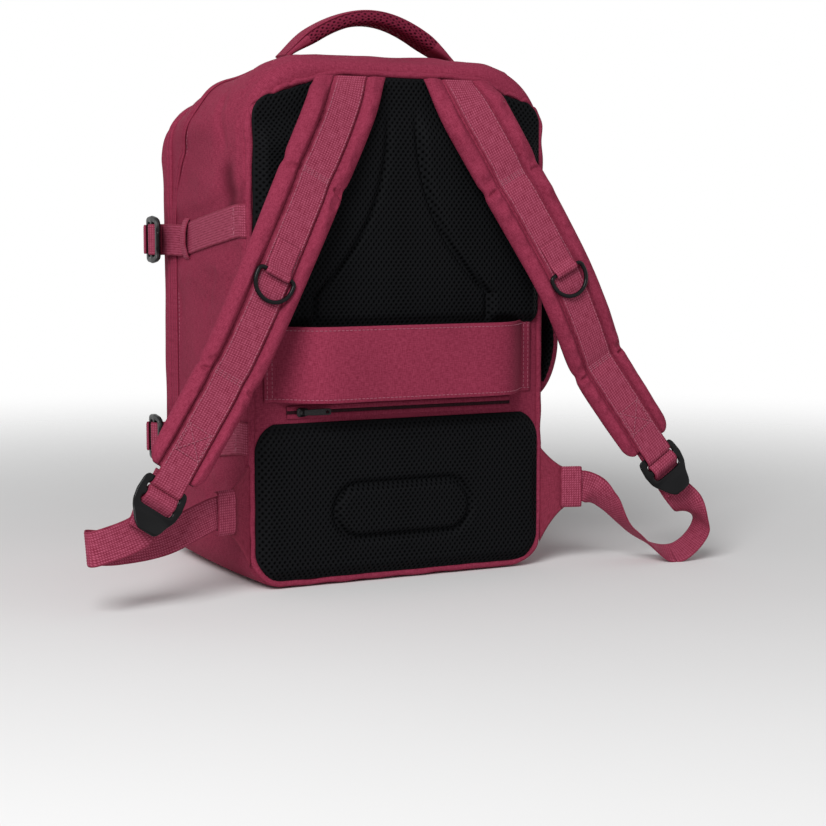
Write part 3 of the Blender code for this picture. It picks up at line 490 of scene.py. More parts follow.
def outline(y, inset=0.0):
    """Rings of the body at depths y: up the left side, over the top, down the right side and back.

    Straight runs are joined by quarter circles, whose radii shrink as much as the ring is inset. The
    shoulders then slump and their corners fill out, each by eased ramps outwards, upwards and forwards.
    """
    y, inset = (v[:, None] for v in np.broadcast_arrays(np.atleast_1d(np.asarray(y, float)), inset))
    w, top = half_width(y) - inset, top_height(y) - inset
    r, b = np.maximum(TOP_RADIUS - inset, LEAST_RADIUS), np.maximum(BASE_RADIUS - inset, LEAST_RADIUS)
    foot, shoulder = inset + b, top - r
    side, flat, base = (np.arange(n) / n for n in (SIDE_COUNT, TOP_COUNT, BASE_COUNT))
    rise, fall = turn(180, 90, CORNER_COUNT), turn(90, 0, CORNER_COUNT)
    tuck, back = turn(0, -90, FOOT_COUNT), turn(-90, -180, FOOT_COUNT)
    x = [-w + 0 * side, r - w + r * np.cos(rise), (r - w) * (1 - 2 * flat), w - r + r * np.cos(fall)]
    x += [w + 0 * side, w - b + b * np.cos(tuck), (w - b) * (1 - 2 * base), b - w + b * np.cos(back)]
    z = [foot + (shoulder - foot) * side, shoulder + r * np.sin(rise), top + 0 * flat]
    z += [shoulder + r * np.sin(fall), shoulder + (foot - shoulder) * side]
    z += [foot + b * np.sin(tuck), inset + 0 * base, foot + b * np.sin(back)]
    x, z = np.concatenate(x, axis=1), np.concatenate(z, axis=1)
    slump = SLUMP * ramp(np.abs(x), SLUMP_START, SLUMP_RUN) * ramp(z, SLUMP_FOOT, SLUMP_RISE)
    full = CORNER_FULL * ramp(np.abs(x), CORNER_OUT, CORNER_RAMP) * ramp(z, CORNER_UP, CORNER_RAMP)
    ahead = ramp(y - BACK_Y, SLUMP_BACK, SLUMP_AHEAD)
    x, z = x + np.sign(x) * full * ahead, z - (slump - full) * ahead
    return np.stack([x, np.broadcast_to(y, x.shape), z], axis=-1)


def rolled(flat_y, radius, way, count):
    """Depths and insets round a rolled edge: out by the sine of the angle, in by 1 less its cosine."""
    angle = np.radians(np.linspace(0, 90, count))
    return flat_y + way * radius * np.sin(angle), radius * (1 - np.cos(angle))


def stack_rows(*runs):
    """Depths and insets of several runs of rows, one after the other."""
    pairs = [np.broadcast_arrays(np.atleast_1d(y), np.atleast_1d(inset)) for y, inset in runs]
    return [np.concatenate(column) for column in zip(*pairs)]


RING = SIDE_COUNT * 2 + CORNER_COUNT * 2 + TOP_COUNT + FOOT_COUNT * 2 + BASE_COUNT
print(RING, "points to a ring")

# %% [markdown]
# ### Slack in the cloth
# New cloth over foam still shows where it is pulled: it swells between the two compression straps,
# puckers where the back seam turns the corner and creases above a tight strap. These are small
# heights added along the way out. They fade to nothing where another piece lies on the cloth.

# %% The tub
STRAP_HEIGHTS = {"lower": 0.100, "upper": 0.262}
STRAP_TILT = 0.015
STRAP_START = BACK_Y + 0.014
STRAP_LEAVE = ZIP_Y - 0.0425
STRAP_HALF = 0.0125
GRIP_Y, GRIP_Z, GRIP_SPAN = -0.058, 0.180, 0.096
SEAT_HALF = 0.085
SIDE_X, DEEPEST = 0.1, -0.0026
SIDE_SWELLS = ((0.0008, 0.075, 3), (0.00035, 0.026, 4))
BULGE, BULGE_AWAY, BULGE_WIDTH = 0.0020, 0.030, 0.013
BULGE_BEFORE, BULGE_RUN = 0.012, 0.03
PUCKER, PUCKER_PITCH, PUCKER_IN, PUCKER_WIDTH = 0.00045, 0.0105, 0.014, 0.010
PUCKER_HIGH, PUCKER_WANDER = (0.30, 0.06), ((2.5, 0.04, 5),)
CLEAR_STRAP, CLEAR_SEAT, CLEAR_GRIP, CLEAR_BASE = (0.001, 0.010), (0.008, 0.012), (0.010, 0.015), (0.012, 0.03)
CLEAR_ZIP_Y, CLEAR_ZIP_RUN, CLEAR_BACK_RUN, SEAT_DROP = 0.057, 0.012, 0.006, 0.03
DENT = ((-0.0680, 0.288), (-0.0600, 0.312), 0.0100)
SIDE_CREASES = (
    (0.0024, *DENT),
    (0.0016, (-0.0520, 0.336), (-0.0400, 0.368), 0.0060),
    (0.0011, (-0.0350, 0.238), (-0.0100, 0.205), 0.0040),
    (0.0009, (-0.0600, 0.232), (-0.0550, 0.190), 0.0040),
    (0.0010, (-0.0500, 0.080), (-0.0150, 0.062), 0.0040),
)
# Painted shade on the left side, along the dent and along a short line beside the back seam: how dark, the
# line's two ends and its width.
SIDE_SHADES = ((0.80, *DENT), (0.35, (-0.0830, 0.292), (-0.0850, 0.304), 0.0035))


def strap_middle(y, z):
    """The height of the middle of a compression strap where it crosses the side."""
    return z + STRAP_TILT * np.clip(1 - (y - STRAP_START) / (STRAP_LEAVE - STRAP_START), 0, 1)


def left_folds(points, folds):
    """The sum of several folds of the left side, each as deep as its first number."""
    x, y, z = np.moveaxis(points, -1, 0)
    return (x < -SIDE_X) * sum(depth * fold(y, z, *line) for depth, *line in folds)


def side_slack(points):
    """How far the cloth of the tub stands out at its points: swells, bulges, puckers and creases."""
    x, y, z = np.moveaxis(points, -1, 0)
    beside = np.abs(x) > SIDE_X
    height = swells(points, SIDE_SWELLS)
    clear = np.ones_like(x)
    for level in STRAP_HEIGHTS.values():
        away = np.abs(z - strap_middle(y, level))
        across = smooth((y - STRAP_START + BULGE_BEFORE) / BULGE_RUN)
        height += BULGE * across * bell(away - BULGE_AWAY, BULGE_WIDTH) * beside
        clear *= np.where(beside, ramp(away - STRAP_HALF, *CLEAR_STRAP), 1)
    ripple = np.cos(2 * np.pi * z / PUCKER_PITCH + swells(points, PUCKER_WANDER))
    height += PUCKER * ramp(z, *PUCKER_HIGH) * ripple * bell(y - BACK_Y - PUCKER_IN, PUCKER_WIDTH)
    height -= left_folds(points, SIDE_CREASES)
    clear *= smooth((CLEAR_ZIP_Y - y) / CLEAR_ZIP_RUN) * ramp(y - BACK_Y, BACK_ROLL, CLEAR_BACK_RUN)
    clear *= ramp(z, *CLEAR_BASE)
    seat = np.hypot(np.maximum(np.abs(x) - SEAT_HALF, 0), y - CROWN_Y)
    clear *= np.where(z > BODY_TOP - SEAT_DROP, ramp(seat, *CLEAR_SEAT), 1)
    grip = np.hypot(np.maximum(np.abs(z - GRIP_Z) - GRIP_SPAN / 2, 0), y - GRIP_Y)
    clear *= np.where(x > SIDE_X, ramp(grip, *CLEAR_GRIP), 1)
    return np.maximum(height * clear, DEEPEST)


BACK_MIDDLE_INSET = 0.115
BACK_ROLL_ROWS, SIDE_ROWS = 9, 92
roll_y, roll_in = rolled(BACK_Y + BACK_ROLL, BACK_ROLL, -1, BACK_ROLL_ROWS)
outside = stack_rows(
    (BACK_Y, np.linspace(BACK_MIDDLE_INSET, BACK_ROLL, 10)[:-1]),
    (roll_y[::-1], roll_in[::-1]),
    (np.linspace(BACK_Y + BACK_ROLL, ZIP_Y, SIDE_ROWS)[1:], 0.0),
)
inside = stack_rows(
    (ZIP_Y, 0.5 * WALL),
    (np.linspace(ZIP_Y - 0.5 * WALL, BACK_Y + WALL, 18), WALL),
    (BACK_Y + WALL, np.linspace(0.02, BACK_MIDDLE_INSET, 6)),
)
outer = outline(*outside)
# The painted shade is kept as a mark at the points, which the cloth's colour reads.
fold_shade = left_folds(outer, SIDE_SHADES)
outer += outwards(outer) * side_slack(outer)[..., None]
tub_grid = np.concatenate([outer, outline(*inside)])
fold_shade = np.concatenate([fold_shade, np.zeros((len(tub_grid) - len(outer), RING))])
tub_paint = (np.arange(len(tub_grid) - 1) >= len(outer) - 1).astype(int)[:, None]
midway, down_side = len(outer) // 2, run_of(tub_grid[:, SIDE_COUNT // 2])
tub_uv = run_uv(tub_grid[midway:midway + 2], False)[:1] * [1, 0]
tub_uv = tub_uv + np.stack([0 * down_side, down_side], -1)[:, None]
tub = skin("tub_cover", tub_grid, [cloth, lining], uv=tub_uv, paint=tub_paint, marks={"fold_shade": fold_shade})
dress(tub, "pack", "shell_fabric", "main_shell")

# %% [markdown]
# ### The lid
# The lid goes the other way: from the middle of its inside to its rim, along its shallow wall and
# round the big soft edge to the middle of the front. Its UV map is the front seen flat, carried on
# outwards over the edge, so that the weave runs straight across the whole panel.

# %% The lid
FRONT_MIDDLE_INSET = 0.118
LID_SWELLS = ((0.0008, 0.09, 11), (0.0003, 0.03, 12))
LID_BULGE, BULGE_IN, LID_BULGE_WIDTH, LID_BULGE_HIGH = 0.0030, 0.016, 0.008, (0.30, 0.05)
CLEAR_RIM, CLEAR_POCKET, CLEAR_FOOT = (0.012, 0.008), 0.012, (0.010, 0.02)
POCKET_HALF, POCKET_Z, POCKET_RISE = 0.098, 0.141, 0.106
LID_WALL_ROWS, LID_ROLL_ROWS = 6, 18


def front_slack(points):
    """How far the cloth of the lid stands out: a swell of the whole panel and small waves."""
    x, y, z = np.moveaxis(points, -1, 0)
    height = swells(points, LID_SWELLS)
    height += LID_BULGE * bell(y - LID_Y - BULGE_IN, LID_BULGE_WIDTH) * ramp(z, *LID_BULGE_HIGH)
    pocket = np.maximum(np.abs(x) - POCKET_HALF, np.abs(z - POCKET_Z) - POCKET_RISE)
    return height * ramp(y - LID_Y, *CLEAR_RIM) * smooth(pocket / CLEAR_POCKET) * ramp(z, *CLEAR_FOOT)


lid_y, lid_in = rolled(FRONT_Y - LID_ROLL, LID_ROLL, 1, LID_ROLL_ROWS)
lid_inside = stack_rows(
    (FRONT_Y - WALL, np.linspace(FRONT_MIDDLE_INSET, LID_ROLL + WALL, 6)),
    (lid_y[1:-1:3][::-1] - WALL, lid_in[1:-1:3][::-1] + WALL),
    (LID_Y + 0.5 * WALL, WALL),
)
lid_outside = stack_rows(
    (np.linspace(LID_Y, FRONT_Y - LID_ROLL, LID_WALL_ROWS + 1)[:-1], 0.0),
    (lid_y, lid_in),
    (FRONT_Y, np.linspace(LID_ROLL, FRONT_MIDDLE_INSET, 40)[1:]),
)
outer = outline(*lid_outside)
lid_run = run_of(outer[:, SIDE_COUNT // 2])
flat_run = lid_run - lid_run[LID_WALL_ROWS + LID_ROLL_ROWS]
outer += outwards(outer) * front_slack(outer)[..., None]
lid_grid = np.concatenate([outline(*lid_inside), outer])
inner_count = len(lid_grid) - len(outer)
unrolled = np.concatenate([np.full(inner_count, LID_ROLL + flat_run[0]), LID_ROLL + flat_run])
lid_uv = outline(np.full(len(lid_grid), ZIP_Y), unrolled)[..., [0, 2]]
lid_uv = np.concatenate([lid_uv, lid_uv[:, :1]], axis=1)
lid_paint = (np.arange(len(lid_grid) - 1) < inner_count).astype(int)[:, None]
lid = skin("lid_cover", lid_grid, [cloth, lining], uv=lid_uv, paint=lid_paint)
dress(lid, "lid", "shell_fabric", "front_panel")

# %% [markdown]
# ### Piping
# The cloth of the sides is rolled over the edge of the back pads, and that roll puckers where it turns
# the top corners. A Blender curve with a bevel would do it. Here a small circle is carried along the
# rim of the pads, and the same function then serves for rings, lips of zips and wire.

# %% Sections carried along a path
def circle(radius, count):
    """A round section: cosine and sine of equal angles."""
    angle = turn(0, 360, count)
    return radius * np.stack([np.cos(angle), np.sin(angle)], axis=-1)


def carry(path, side, up, section):
    """A section at each point of a path: the point + side x first number + up x second number."""
    return path[:, None] + side[:, None] * section[..., :1] + up[:, None] * section[..., 1:]


def ring_frame(y, inset):
    """One ring of the body, its way out in its own plane, and the way to the front."""
    ring = outline(y, inset)[0]
    out = unit(ring - outline(y, inset + NUDGE)[0])
    return ring, out, spread(FRONTWARDS, ring)


SHOULDER_DROP = 0.015
SHOULDER_OUT, SHOULDER_UP = (0.050, 0.066), (0.300, 0.085)


def shoulder(points):
    """The top corners of the back, drawn down by the product of two eased ramps, outwards and upwards."""
    x, _, z = np.moveaxis(points, -1, 0)
    drop = SHOULDER_DROP * ramp(np.abs(x), *SHOULDER_OUT) * ramp(z, *SHOULDER_UP)
    return points - UP * drop[..., None]


def rim_line(half, top, foot, r, b):
    """A closed oblong on the back: even runs and quarter circles of radius r above and b below."""
    rise, fall = turn(180, 90, 30), turn(90, 0, 30)
    tuck, back = turn(0, -90, 20), turn(-90, -180, 20)
    side, flat = np.arange(120) / 120, np.arange(80) / 80
    high, low, wide, base = top - r, foot + b, half - r, half - b
    x = [-half + 0 * side, -wide + r * np.cos(rise), wide * (2 * flat - 1), wide + r * np.cos(fall)]
    x += [half + 0 * side, base + b * np.cos(tuck), base * (1 - 2 * flat), b * np.cos(back) - base]
    z = [low + (high - low) * side, high + r * np.sin(rise), top + 0 * flat, high + r * np.sin(fall)]
    z += [high + (low - high) * side, low + b * np.sin(tuck), foot + 0 * flat, low + b * np.sin(back)]
    return np.concatenate(x), np.concatenate(z)


GATHERS, GATHER_HALF, GATHER_DEPTH = (0.0905, 0.1060, 0.1165), 0.0020, 0.0017
LIP, RIM_HALF, RIM_TOP, RIM_FOOT = 0.0024, 0.1240, 0.3872, 0.0040
RIM_RADII = (0.020, 0.026)
PUCKER_UP, PUCKER_OUT, GATHER_UP = (0.315, 0.03), (0.030, 0.04), (0.345, 0.01)
RIPPLE_EVEN, RIPPLE_PUCKER, GATHER_THIN = 0.06, 0.16, 0.35
SWAY_EVEN, SWAY_PUCKER = 0.0003, 0.0006
x, z = rim_line(RIM_HALF, RIM_TOP, RIM_FOOT, *RIM_RADII)
rim = shoulder(np.stack([x, 0 * x, z], axis=-1))
wide = np.maximum(np.abs(rim[:, 0]) - BODY_HALF + TOP_RADIUS, 0)
high = rim[:, 2] - top_height(BACK_Y) + TOP_RADIUS
inset = np.minimum(TOP_RADIUS - np.where(high > 0, np.hypot(wide, high), wide), rim[:, 2])
inset = np.clip(inset, 0, BACK_ROLL)
rim[:, 1] = BACK_Y + BACK_ROLL - np.sqrt(BACK_ROLL**2 - (BACK_ROLL - inset) ** 2) - 0.3 * LIP
tangent = unit((np.roll(rim, -1, 0) - np.roll(rim, 1, 0)) * [1, 0, 1])
rim_out = np.cross(tangent, FRONTWARDS)
rim_ahead = spread(FRONTWARDS, rim)
pucker = ramp(rim[:, 2], *PUCKER_UP) * ramp(np.abs(rim[:, 0]), *PUCKER_OUT)
ripple = (1 + (RIPPLE_EVEN + RIPPLE_PUCKER * pucker) * swell(rim, 0.024, 21))[:, None]
gathers = sum(bell(np.abs(rim[:, 0]) - place_at, GATHER_HALF) for place_at in GATHERS)
gathers = gathers * ramp(rim[:, 2], *GATHER_UP)
ripple = ripple * (1 - GATHER_THIN * gathers)[:, None]
sway = (SWAY_EVEN + SWAY_PUCKER * pucker) * swell(rim, 0.030, 22)
rim = rim + rim_out * (sway - GATHER_DEPTH * gathers)[:, None]
piping_grid = carry(rim, rim_out * ripple, rim_ahead * ripple, circle(LIP, 12))
dress(skin("back_piping", piping_grid, [cloth], loop=True), "pack", "shell_fabric")

# %% [markdown]
# ## Back pads
# The back is covered by foam under black spacer mesh. The foam is thick over the shoulder blades and
# thin along the spine, with a sewn channel between that flares like a bell. The lower pad has a
# raised oblong. The mesh has real dimples here, because a bump alone would look flat at the rim:
# the height is lowered wherever the product of two cosines, one across and one up, is near 1.

# %% Pads
HOLE_ACROSS, HOLE_UP = 0.0042, 0.0054
HOLE_DEPTH, HOLE_RANGE, HOLE_INSET = 0.0007, (0.14, 0.40), (0.0005, 0.002)
PAD_EDGE = 0.0018
PAD_ROLL = 0.010
RIM, RIM_FALL = 0.0022, 0.94
CORNER_START = 0.3


def dimples(across, up):
    """1 at the middle of each hole of spacer mesh and 0 on its strands; alternate rows are offset."""
    wave = np.cos(2 * np.pi * across / HOLE_ACROSS) * np.cos(2 * np.pi * up / HOLE_UP)
    return ramp(wave, *HOLE_RANGE)


def cushion(name, node, radii, height, way, finish, spacing, holes, grow=(0.0, 0.0)):
    """A pad on a flat wall: its thickness is a height at (x, z, distance in from its rim).

    Each row is as wide as its round corners let it be: half - r + the root of r squared - into squared.
    A pad on the back grows to its seam, at its sides and its foot, and follows the drawn-down shoulders.
    """
    low, high = corners(node)
    half, foot, top = high[0] + grow[0], low[2] - grow[1], high[2]
    face = high[1] if way < 0 else low[1]
    z = np.linspace(foot, top, round((top - foot) / spacing) + 1)[:, None]
    lower = z - foot < top - z
    radius = np.where(lower, radii[0], radii[1])
    into = np.maximum(0, radius - np.minimum(z - foot, top - z))
    w = half - radius + np.sqrt(radius**2 - into**2 * (1 - CORNER_START**2))
    x = w * np.linspace(-1, 1, round(2 * half / spacing) + 1)
    z = np.broadcast_to(z, x.shape)
    edge = np.minimum(np.minimum(w - np.abs(x), z - foot), top - z)
    thick = height(x, z, edge)
    thick = thick * np.sqrt(1 - RIM_FALL * (1 - np.clip(edge / RIM, 0, 1)) ** 2)
    hole_and_shade = dimples(x, z) * ramp(edge, *HOLE_INSET) if holes else 0 * x
    front = np.stack([x, face + way * (thick - HOLE_DEPTH * hole_and_shade), z], axis=-1)
    rear = front[:, [-1, 0]] * [1, 0, 1] + [0, face, 0]
    grid = np.concatenate([front, rear], axis=1)
    grid = shoulder(grid) if way < 0 else grid
    uv = np.concatenate([grid, grid[:, :1]], axis=1)[..., [0, 2]]
    # The holes' mark sinks the mesh and also paints shade into the holes.
    mark = np.concatenate([hole_and_shade, 0 * hole_and_shade[:, :2]], axis=1)
    return skin(name, grid, [finish], uv=uv, marks={"hole_and_shade": mark})


upper_low, upper_high = corners("upper_back_pad")
SPINE, BLADE = 0.0050, 0.0085
GROOVE_TOP, GROOVE_FOOT, GROOVE_RISE = 0.0125, 0.075, 0.018
GROOVE_WIDTH, GROOVE_DEPTH, GROOVE_SHARP = 0.0045, 0.0040, 1.3
TOP_BAND, TOP_RAMP = 0.020, 0.030


def upper_height(x, z, edge):
    """Blades beside a spine: a step at the groove, less a bell along it, rolled down at the rim."""
    run = upper_high[2] - upper_low[2] - GROOVE_RISE
    down = np.clip((upper_high[2] - z) / run, 0, 1)
    away = np.abs(x) - GROOVE_TOP - (GROOVE_FOOT - GROOVE_TOP) * down**3
    full = SPINE + (BLADE - SPINE) * smooth(away / GROOVE_WIDTH + 0.5)
    full = full - GROOVE_DEPTH * bell(GROOVE_SHARP * away, GROOVE_WIDTH)
    rise = smooth(edge / PAD_ROLL) * smooth((upper_high[2] - TOP_BAND - z) / TOP_RAMP)
    return PAD_EDGE + (full - PAD_EDGE) * rise


LUMBAR_HALF_WIDTH, LUMBAR_HALF_HEIGHT, LUMBAR_Z = 0.058, 0.0205, 0.056
LOWER_CROWN, LUMBAR_RISE = 0.0070, 0.0020


def lower_height(x, z, edge):
    """A flat crown with an oblong: a rise inside the oblong's rim, less a bell along that rim."""
    straight = LUMBAR_HALF_WIDTH - LUMBAR_HALF_HEIGHT
    away = np.hypot(np.maximum(np.abs(x) - straight, 0), z - LUMBAR_Z) - LUMBAR_HALF_HEIGHT
    full = LOWER_CROWN + LUMBAR_RISE * smooth(-away / GROOVE_WIDTH)
    full = full - GROOVE_DEPTH * bell(GROOVE_SHARP * away, GROOVE_WIDTH)
    return PAD_EDGE + (full - PAD_EDGE) * smooth(edge / PAD_ROLL)


PAD_SPACING = 0.00071
BACK_PADS = (
    ("upper", (0.012, 0.018), upper_height, (0.0035, 0.007)),
    ("lower", (0.022, 0.022), lower_height, (0.0035, 0.004)),
)
for word, radii, height, grow in BACK_PADS:
    node = f"{word}_back_pad"
    pad = cushion(f"{word}_pad", node, radii, height, -1, black_mesh, PAD_SPACING, True, grow)
    dress(pad, "pack", "spacer_mesh", node)

# %% The front pocket
POCKET_CROWN, POCKET_SLACK, SLACK_RUN = 0.009, 0.0009, 0.02
POCKET_RADII, POCKET_SPACING = (0.025, 0.025), 0.0016


def pocket_height(x, z, edge):
    """A flat pocket that swells from its seam, with small waves of slack."""
    points = np.stack([x, 0 * x, z], axis=-1)
    slack = (POCKET_SLACK * swell(points, 0.06, 31) - POCKET_SLACK) * smooth(edge / SLACK_RUN)
    return PAD_EDGE + (POCKET_CROWN - PAD_EDGE) * smooth(edge / (3 * PAD_ROLL)) + slack


pocket = cushion("pocket_cover", "front_pocket", POCKET_RADII, pocket_height, 1, cloth, POCKET_SPACING, False)
dress(pocket, "lid", "shell_fabric", "front_pocket")

# %% [markdown]
# ## Bands of cloth and webbing
# A strap is a long thin strip. It is modelled as a path, with the way that its width points at each
# step, and a thin section across with rounded edges. On webbing every half rib has its own row and
# column of points. Where an odd row meets an odd column the yarn is raised, which makes a grid of ribs.

# %% Bands
RIB = 0.0019
RIB_RELIEF = 0.00016
WEB_WIDTH, WEB_THICK = 0.025, 0.0014
EDGE_SHARE, PLAIN_SHARE, VALLEY = 0.985, 0.98, -0.6


def across_of(path, widths):
    """The way across a band, square to its path, and the way out of its face."""
    ahead = unit(np.gradient(path, axis=0))
    side = unit(widths - ahead * (widths * ahead).sum(1, keepdims=True))
    return side, np.cross(ahead, side)


def band(name, path, widths, width, thick, finish,
         ribs=True, spacing=RIB / 2, relief=None, sheared=False):
    """A strip along a path: half its thickness is that of the middle x the root of 1 - share^16.

    The share goes from -1 at one edge to 1 at the other. With ribs, every second point along and
    across is raised. A relief is a height at (along, share) that both faces follow. A sheared strip
    keeps the given ways across, also where they aren't square to its path.
    """
    path, widths = evenly(spacing, path, widths)
    run = run_of(path)
    side, up = across_of(path, widths)
    side = unit(widths) if sheared else side
    count = max(round(width / (RIB / 2 if ribs else spacing)), 8)
    share = np.concatenate([[-1, -EDGE_SHARE], np.linspace(-1, 1, count + 1)[1:-1], [EDGE_SHARE, 1]])
    share = np.concatenate([share, share[-2:0:-1]])
    column = np.arange(len(share))
    face = np.where(column <= count + 2, 1, -1)
    odd = (np.arange(len(run)) % 2)[:, None] * (np.minimum(column, 2 * (count + 2) - column) % 2)
    checker = np.where(odd, 1.0, VALLEY) * (np.abs(share) < PLAIN_SHARE) * (1 if ribs else 0)
    height = thick / 2 * np.sqrt(1 - share**16) * face + RIB_RELIEF * checker * face
    if relief is not None:
        height = height + relief(run[:, None], share)
    section = np.stack(np.broadcast_arrays(share * (width / 2), height), axis=-1)
    uv_share = np.append(np.cumsum(np.abs(np.diff(share, prepend=share[0]))), 4) * (width / 2)
    uv = np.stack(np.broadcast_arrays(uv_share, run[:, None]), axis=-1)
    # The mark for the ribs paints a highlight on their raised points in the webbing's colour.
    marks = {"rib_highlight": np.clip(checker, 0, 1)}
    strip = skin(name, carry(path, side, up, section), [finish], uv=uv, marks=marks)
    return strip

# %% [markdown]
# ### The sleeve across the back
# A wide band of the shell's cloth is sewn to the back at both ends only, so that it can be slipped over
# something. Its path bows off the back, and its free edges sag a little between the ends.

# %% The sleeve across the back
sleeve_low, sleeve_high = corners("trolley_sleeve")
BACK_FACE = sleeve_high[1]
SLEEVE_THICK, SLEEVE_SEAM, SLEEVE_FLAT = 0.002, 0.008, 0.078
SLEEVE_SEWN, SLEEVE_FREE, SLEEVE_WAVE, SLEEVE_SAG = 0.012, 0.238, 0.0011, 0.0012
SLEEVE_WIDTH = sleeve_high[2] - sleeve_low[2]


def sleeve_sag(run, share):
    """Slack of the sleeve: waves, deeper at its free edges, and none where it is sewn."""
    middle = np.sin(np.pi * np.clip((run - SLEEVE_SEWN) / SLEEVE_FREE, 0, 1))
    wave = 0.6 * np.sin(run * 52 + 1.0) + 0.4 * np.sin(run * 119 + 2.0 + share)
    return SLEEVE_WAVE * middle * share**2 * wave - SLEEVE_SAG * middle * share**2


sleeve_far = sleeve_low[1] + SLEEVE_THICK / 2
sleeve_near = BACK_FACE - SLEEVE_THICK / 2
sleeve_z = (sleeve_low[2] + sleeve_high[2]) / 2
half_plan = [(sleeve_high[0], sleeve_near), (sleeve_high[0] - SLEEVE_SEAM, sleeve_near)]
half_plan += [(SLEEVE_FLAT, sleeve_far + SLEEVE_THICK / 2), (SLEEVE_FLAT / 3, sleeve_far)]
plan = [(-x, y, sleeve_z) for x, y in half_plan] + [(x, y, sleeve_z) for x, y in reversed(half_plan)]
sleeve_path = through(plan, 16)
sleeve_path[:, 1] = np.minimum(sleeve_path[:, 1], sleeve_near)
upright = spread(UP, sleeve_path)
sleeve = band("sleeve_cover", sleeve_path, upright, SLEEVE_WIDTH, SLEEVE_THICK, cloth,
              ribs=False, spacing=0.0018, relief=sleeve_sag)
dress(sleeve, "pack", "shell_fabric", "trolley_sleeve")

# %% The laptop sleeve inside
laptop_low, laptop_high = corners("laptop_sleeve")
LAPTOP_WALL = 0.004
edge_x = laptop_high[0] - LAPTOP_WALL / 2
edge_y = laptop_high[1] - LAPTOP_WALL / 2
bend = 0.006
quarter = turn(180, 90, 8)
corner_x, corner_y = bend - edge_x + bend * np.cos(quarter), edge_y - bend + bend * np.sin(quarter)
left_corner = np.stack([corner_x, corner_y], axis=-1)
laptop_plan = np.concatenate([[[-edge_x, laptop_low[1]]], left_corner])
laptop_plan = np.concatenate([laptop_plan, laptop_plan[::-1] * [-1, 1]])
laptop_z = (laptop_low[2] + laptop_high[2]) / 2
laptop_path = np.column_stack([laptop_plan, np.full(len(laptop_plan), laptop_z)])
upright = spread(UP, laptop_path)
laptop_tall = laptop_high[2] - laptop_low[2]
laptop = band("laptop_sleeve_cover", laptop_path, upright, laptop_tall, LAPTOP_WALL, lining,
              ribs=False, spacing=0.004)
dress(laptop, "pack", "lining", "laptop_sleeve")

# %% [markdown]
# ## Zips
# A coil zip is two rows of small loops on tape, half hidden by rolled lips of cloth. The lips are
# flattened rolls carried along the line of the zip. The coil is one small spindle, copied along
# that line by adding an array of places to an array of shapes, so no loop goes over the teeth.

# %% Spindles for teeth and stitches
SPINDLE_ENDS = np.array([-1.0, -0.55, 0.55, 1.0])
SPINDLE_GIRTHS = np.array([0.35, 1.0, 1.0, 0.35])
SPINDLE_SIDES = 5


def spindles(name, middles, ahead, out, length, radius, finish):
    """Many small spindles in one mesh: middle + ahead x length + a round section x its girth.

    The middles, the ways ahead and the ways out are arrays with a row for each spindle.
    """
    ahead = unit(ahead)
    out = unit(out - ahead * (out * ahead).sum(1, keepdims=True))
    side = np.cross(ahead, out)
    ring = circle(1.0, SPINDLE_SIDES)
    along = (SPINDLE_ENDS * length / 2)[:, None, None]
    girth = (SPINDLE_GIRTHS * radius)[:, None, None]
    shape = middles[:, None, None] + ahead[:, None, None] * along
    shape = shape + girth * (side[:, None, None] * ring[:, :1] + out[:, None, None] * ring[:, 1:])
    count, rows, sides = shape.shape[:3]
    index = np.arange(rows * sides).reshape(rows, sides)
    one = quads_of(np.concatenate([index, index[:, :1]], axis=1))
    start = (np.arange(count) * rows * sides)[:, None, None]
    quads = (one[None] + start).reshape(-1, 4)
    ends = (np.stack([index[0, ::-1], index[-1]])[None] + start).reshape(-1, sides)
    mesh = bpy.data.meshes.new(name)
    mesh.from_pydata(shape.reshape(-1, 3).tolist(), [], quads.tolist() + ends.tolist())
    return place(name, mesh, [finish])


def dashes(path, out, pitch):
    """Places along a line at a pitch, with the way ahead and the way out there."""
    path, out = evenly(pitch / 2, path, spread(out, path))
    ahead = np.gradient(path, axis=0)
    return path[1::2], ahead[1::2], out[1::2]


def gather(lines, pitch):
    """The dashes of several (path, out) lines as three long arrays."""
    return [np.concatenate(group) for group in zip(*(dashes(path, out, pitch) for path, out in lines))]

# %% The three zips
LIP_HALF, LIP_THICK = 0.0019, 0.0007
LIP_APART = 0.0031
TOOTH_PITCH, TOOTH_RADIUS, TOOTH_LENGTH = 0.00125, 0.00042, 0.0036
TOOTH_RISE = 0.0008
FLOOR_THICK = 0.0003
ZIP_FULLNESS, SEAM_FULLNESS = 1.3, 0.4
FULL_OUT, FULL_TOP, FULL_RUN = (0.075, 0.02), 0.38, 0.01


def rolls(name, path, along_side, out, body, slot, fullness, apart):
    """Two rolled lips beside a line and a flat tape between them, as three closed strips.

    The fullness at each point is how much fuller the lips are there than the flat tape.
    """
    lip = circle(1.0, 12) * [LIP_HALF, LIP_THICK]
    floor = circle(1.0, 12) * [apart, FLOOR_THICK]
    middle = path + out * (GAP + LIP_THICK)
    full = (1 + fullness)[:, None]
    strips = {}
    for word, shift in (("upper", apart), ("lower", -apart)):
        grid = carry(middle + along_side * shift, along_side, out * full, lip)
        strips[word] = skin(f"{name}_{word}", grid, [cloth])
    grid = carry(middle - out * FLOOR_THICK, along_side, out, floor)
    strips["floor"] = skin(f"{name}_floor", grid, [coil_plastic])
    for strip in strips.values():
        dress(strip, body, slot)
    return strips


def zip_along(name, path, along_side, out, body, node, fullness):
    """A zip in the place of a packed tape: its lips, its tape and its teeth."""
    strips = rolls(name, path, along_side, out, body, "zip_tape", fullness, LIP_APART)
    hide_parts(node)
    places, ways, sides = evenly(TOOTH_PITCH, path + out * (GAP + TOOTH_RISE), out, along_side)
    teeth = spindles(f"{name}_teeth", places, sides, ways, TOOTH_LENGTH, TOOTH_RADIUS, coil_plastic)
    dress(teeth, body, "zip_tape")


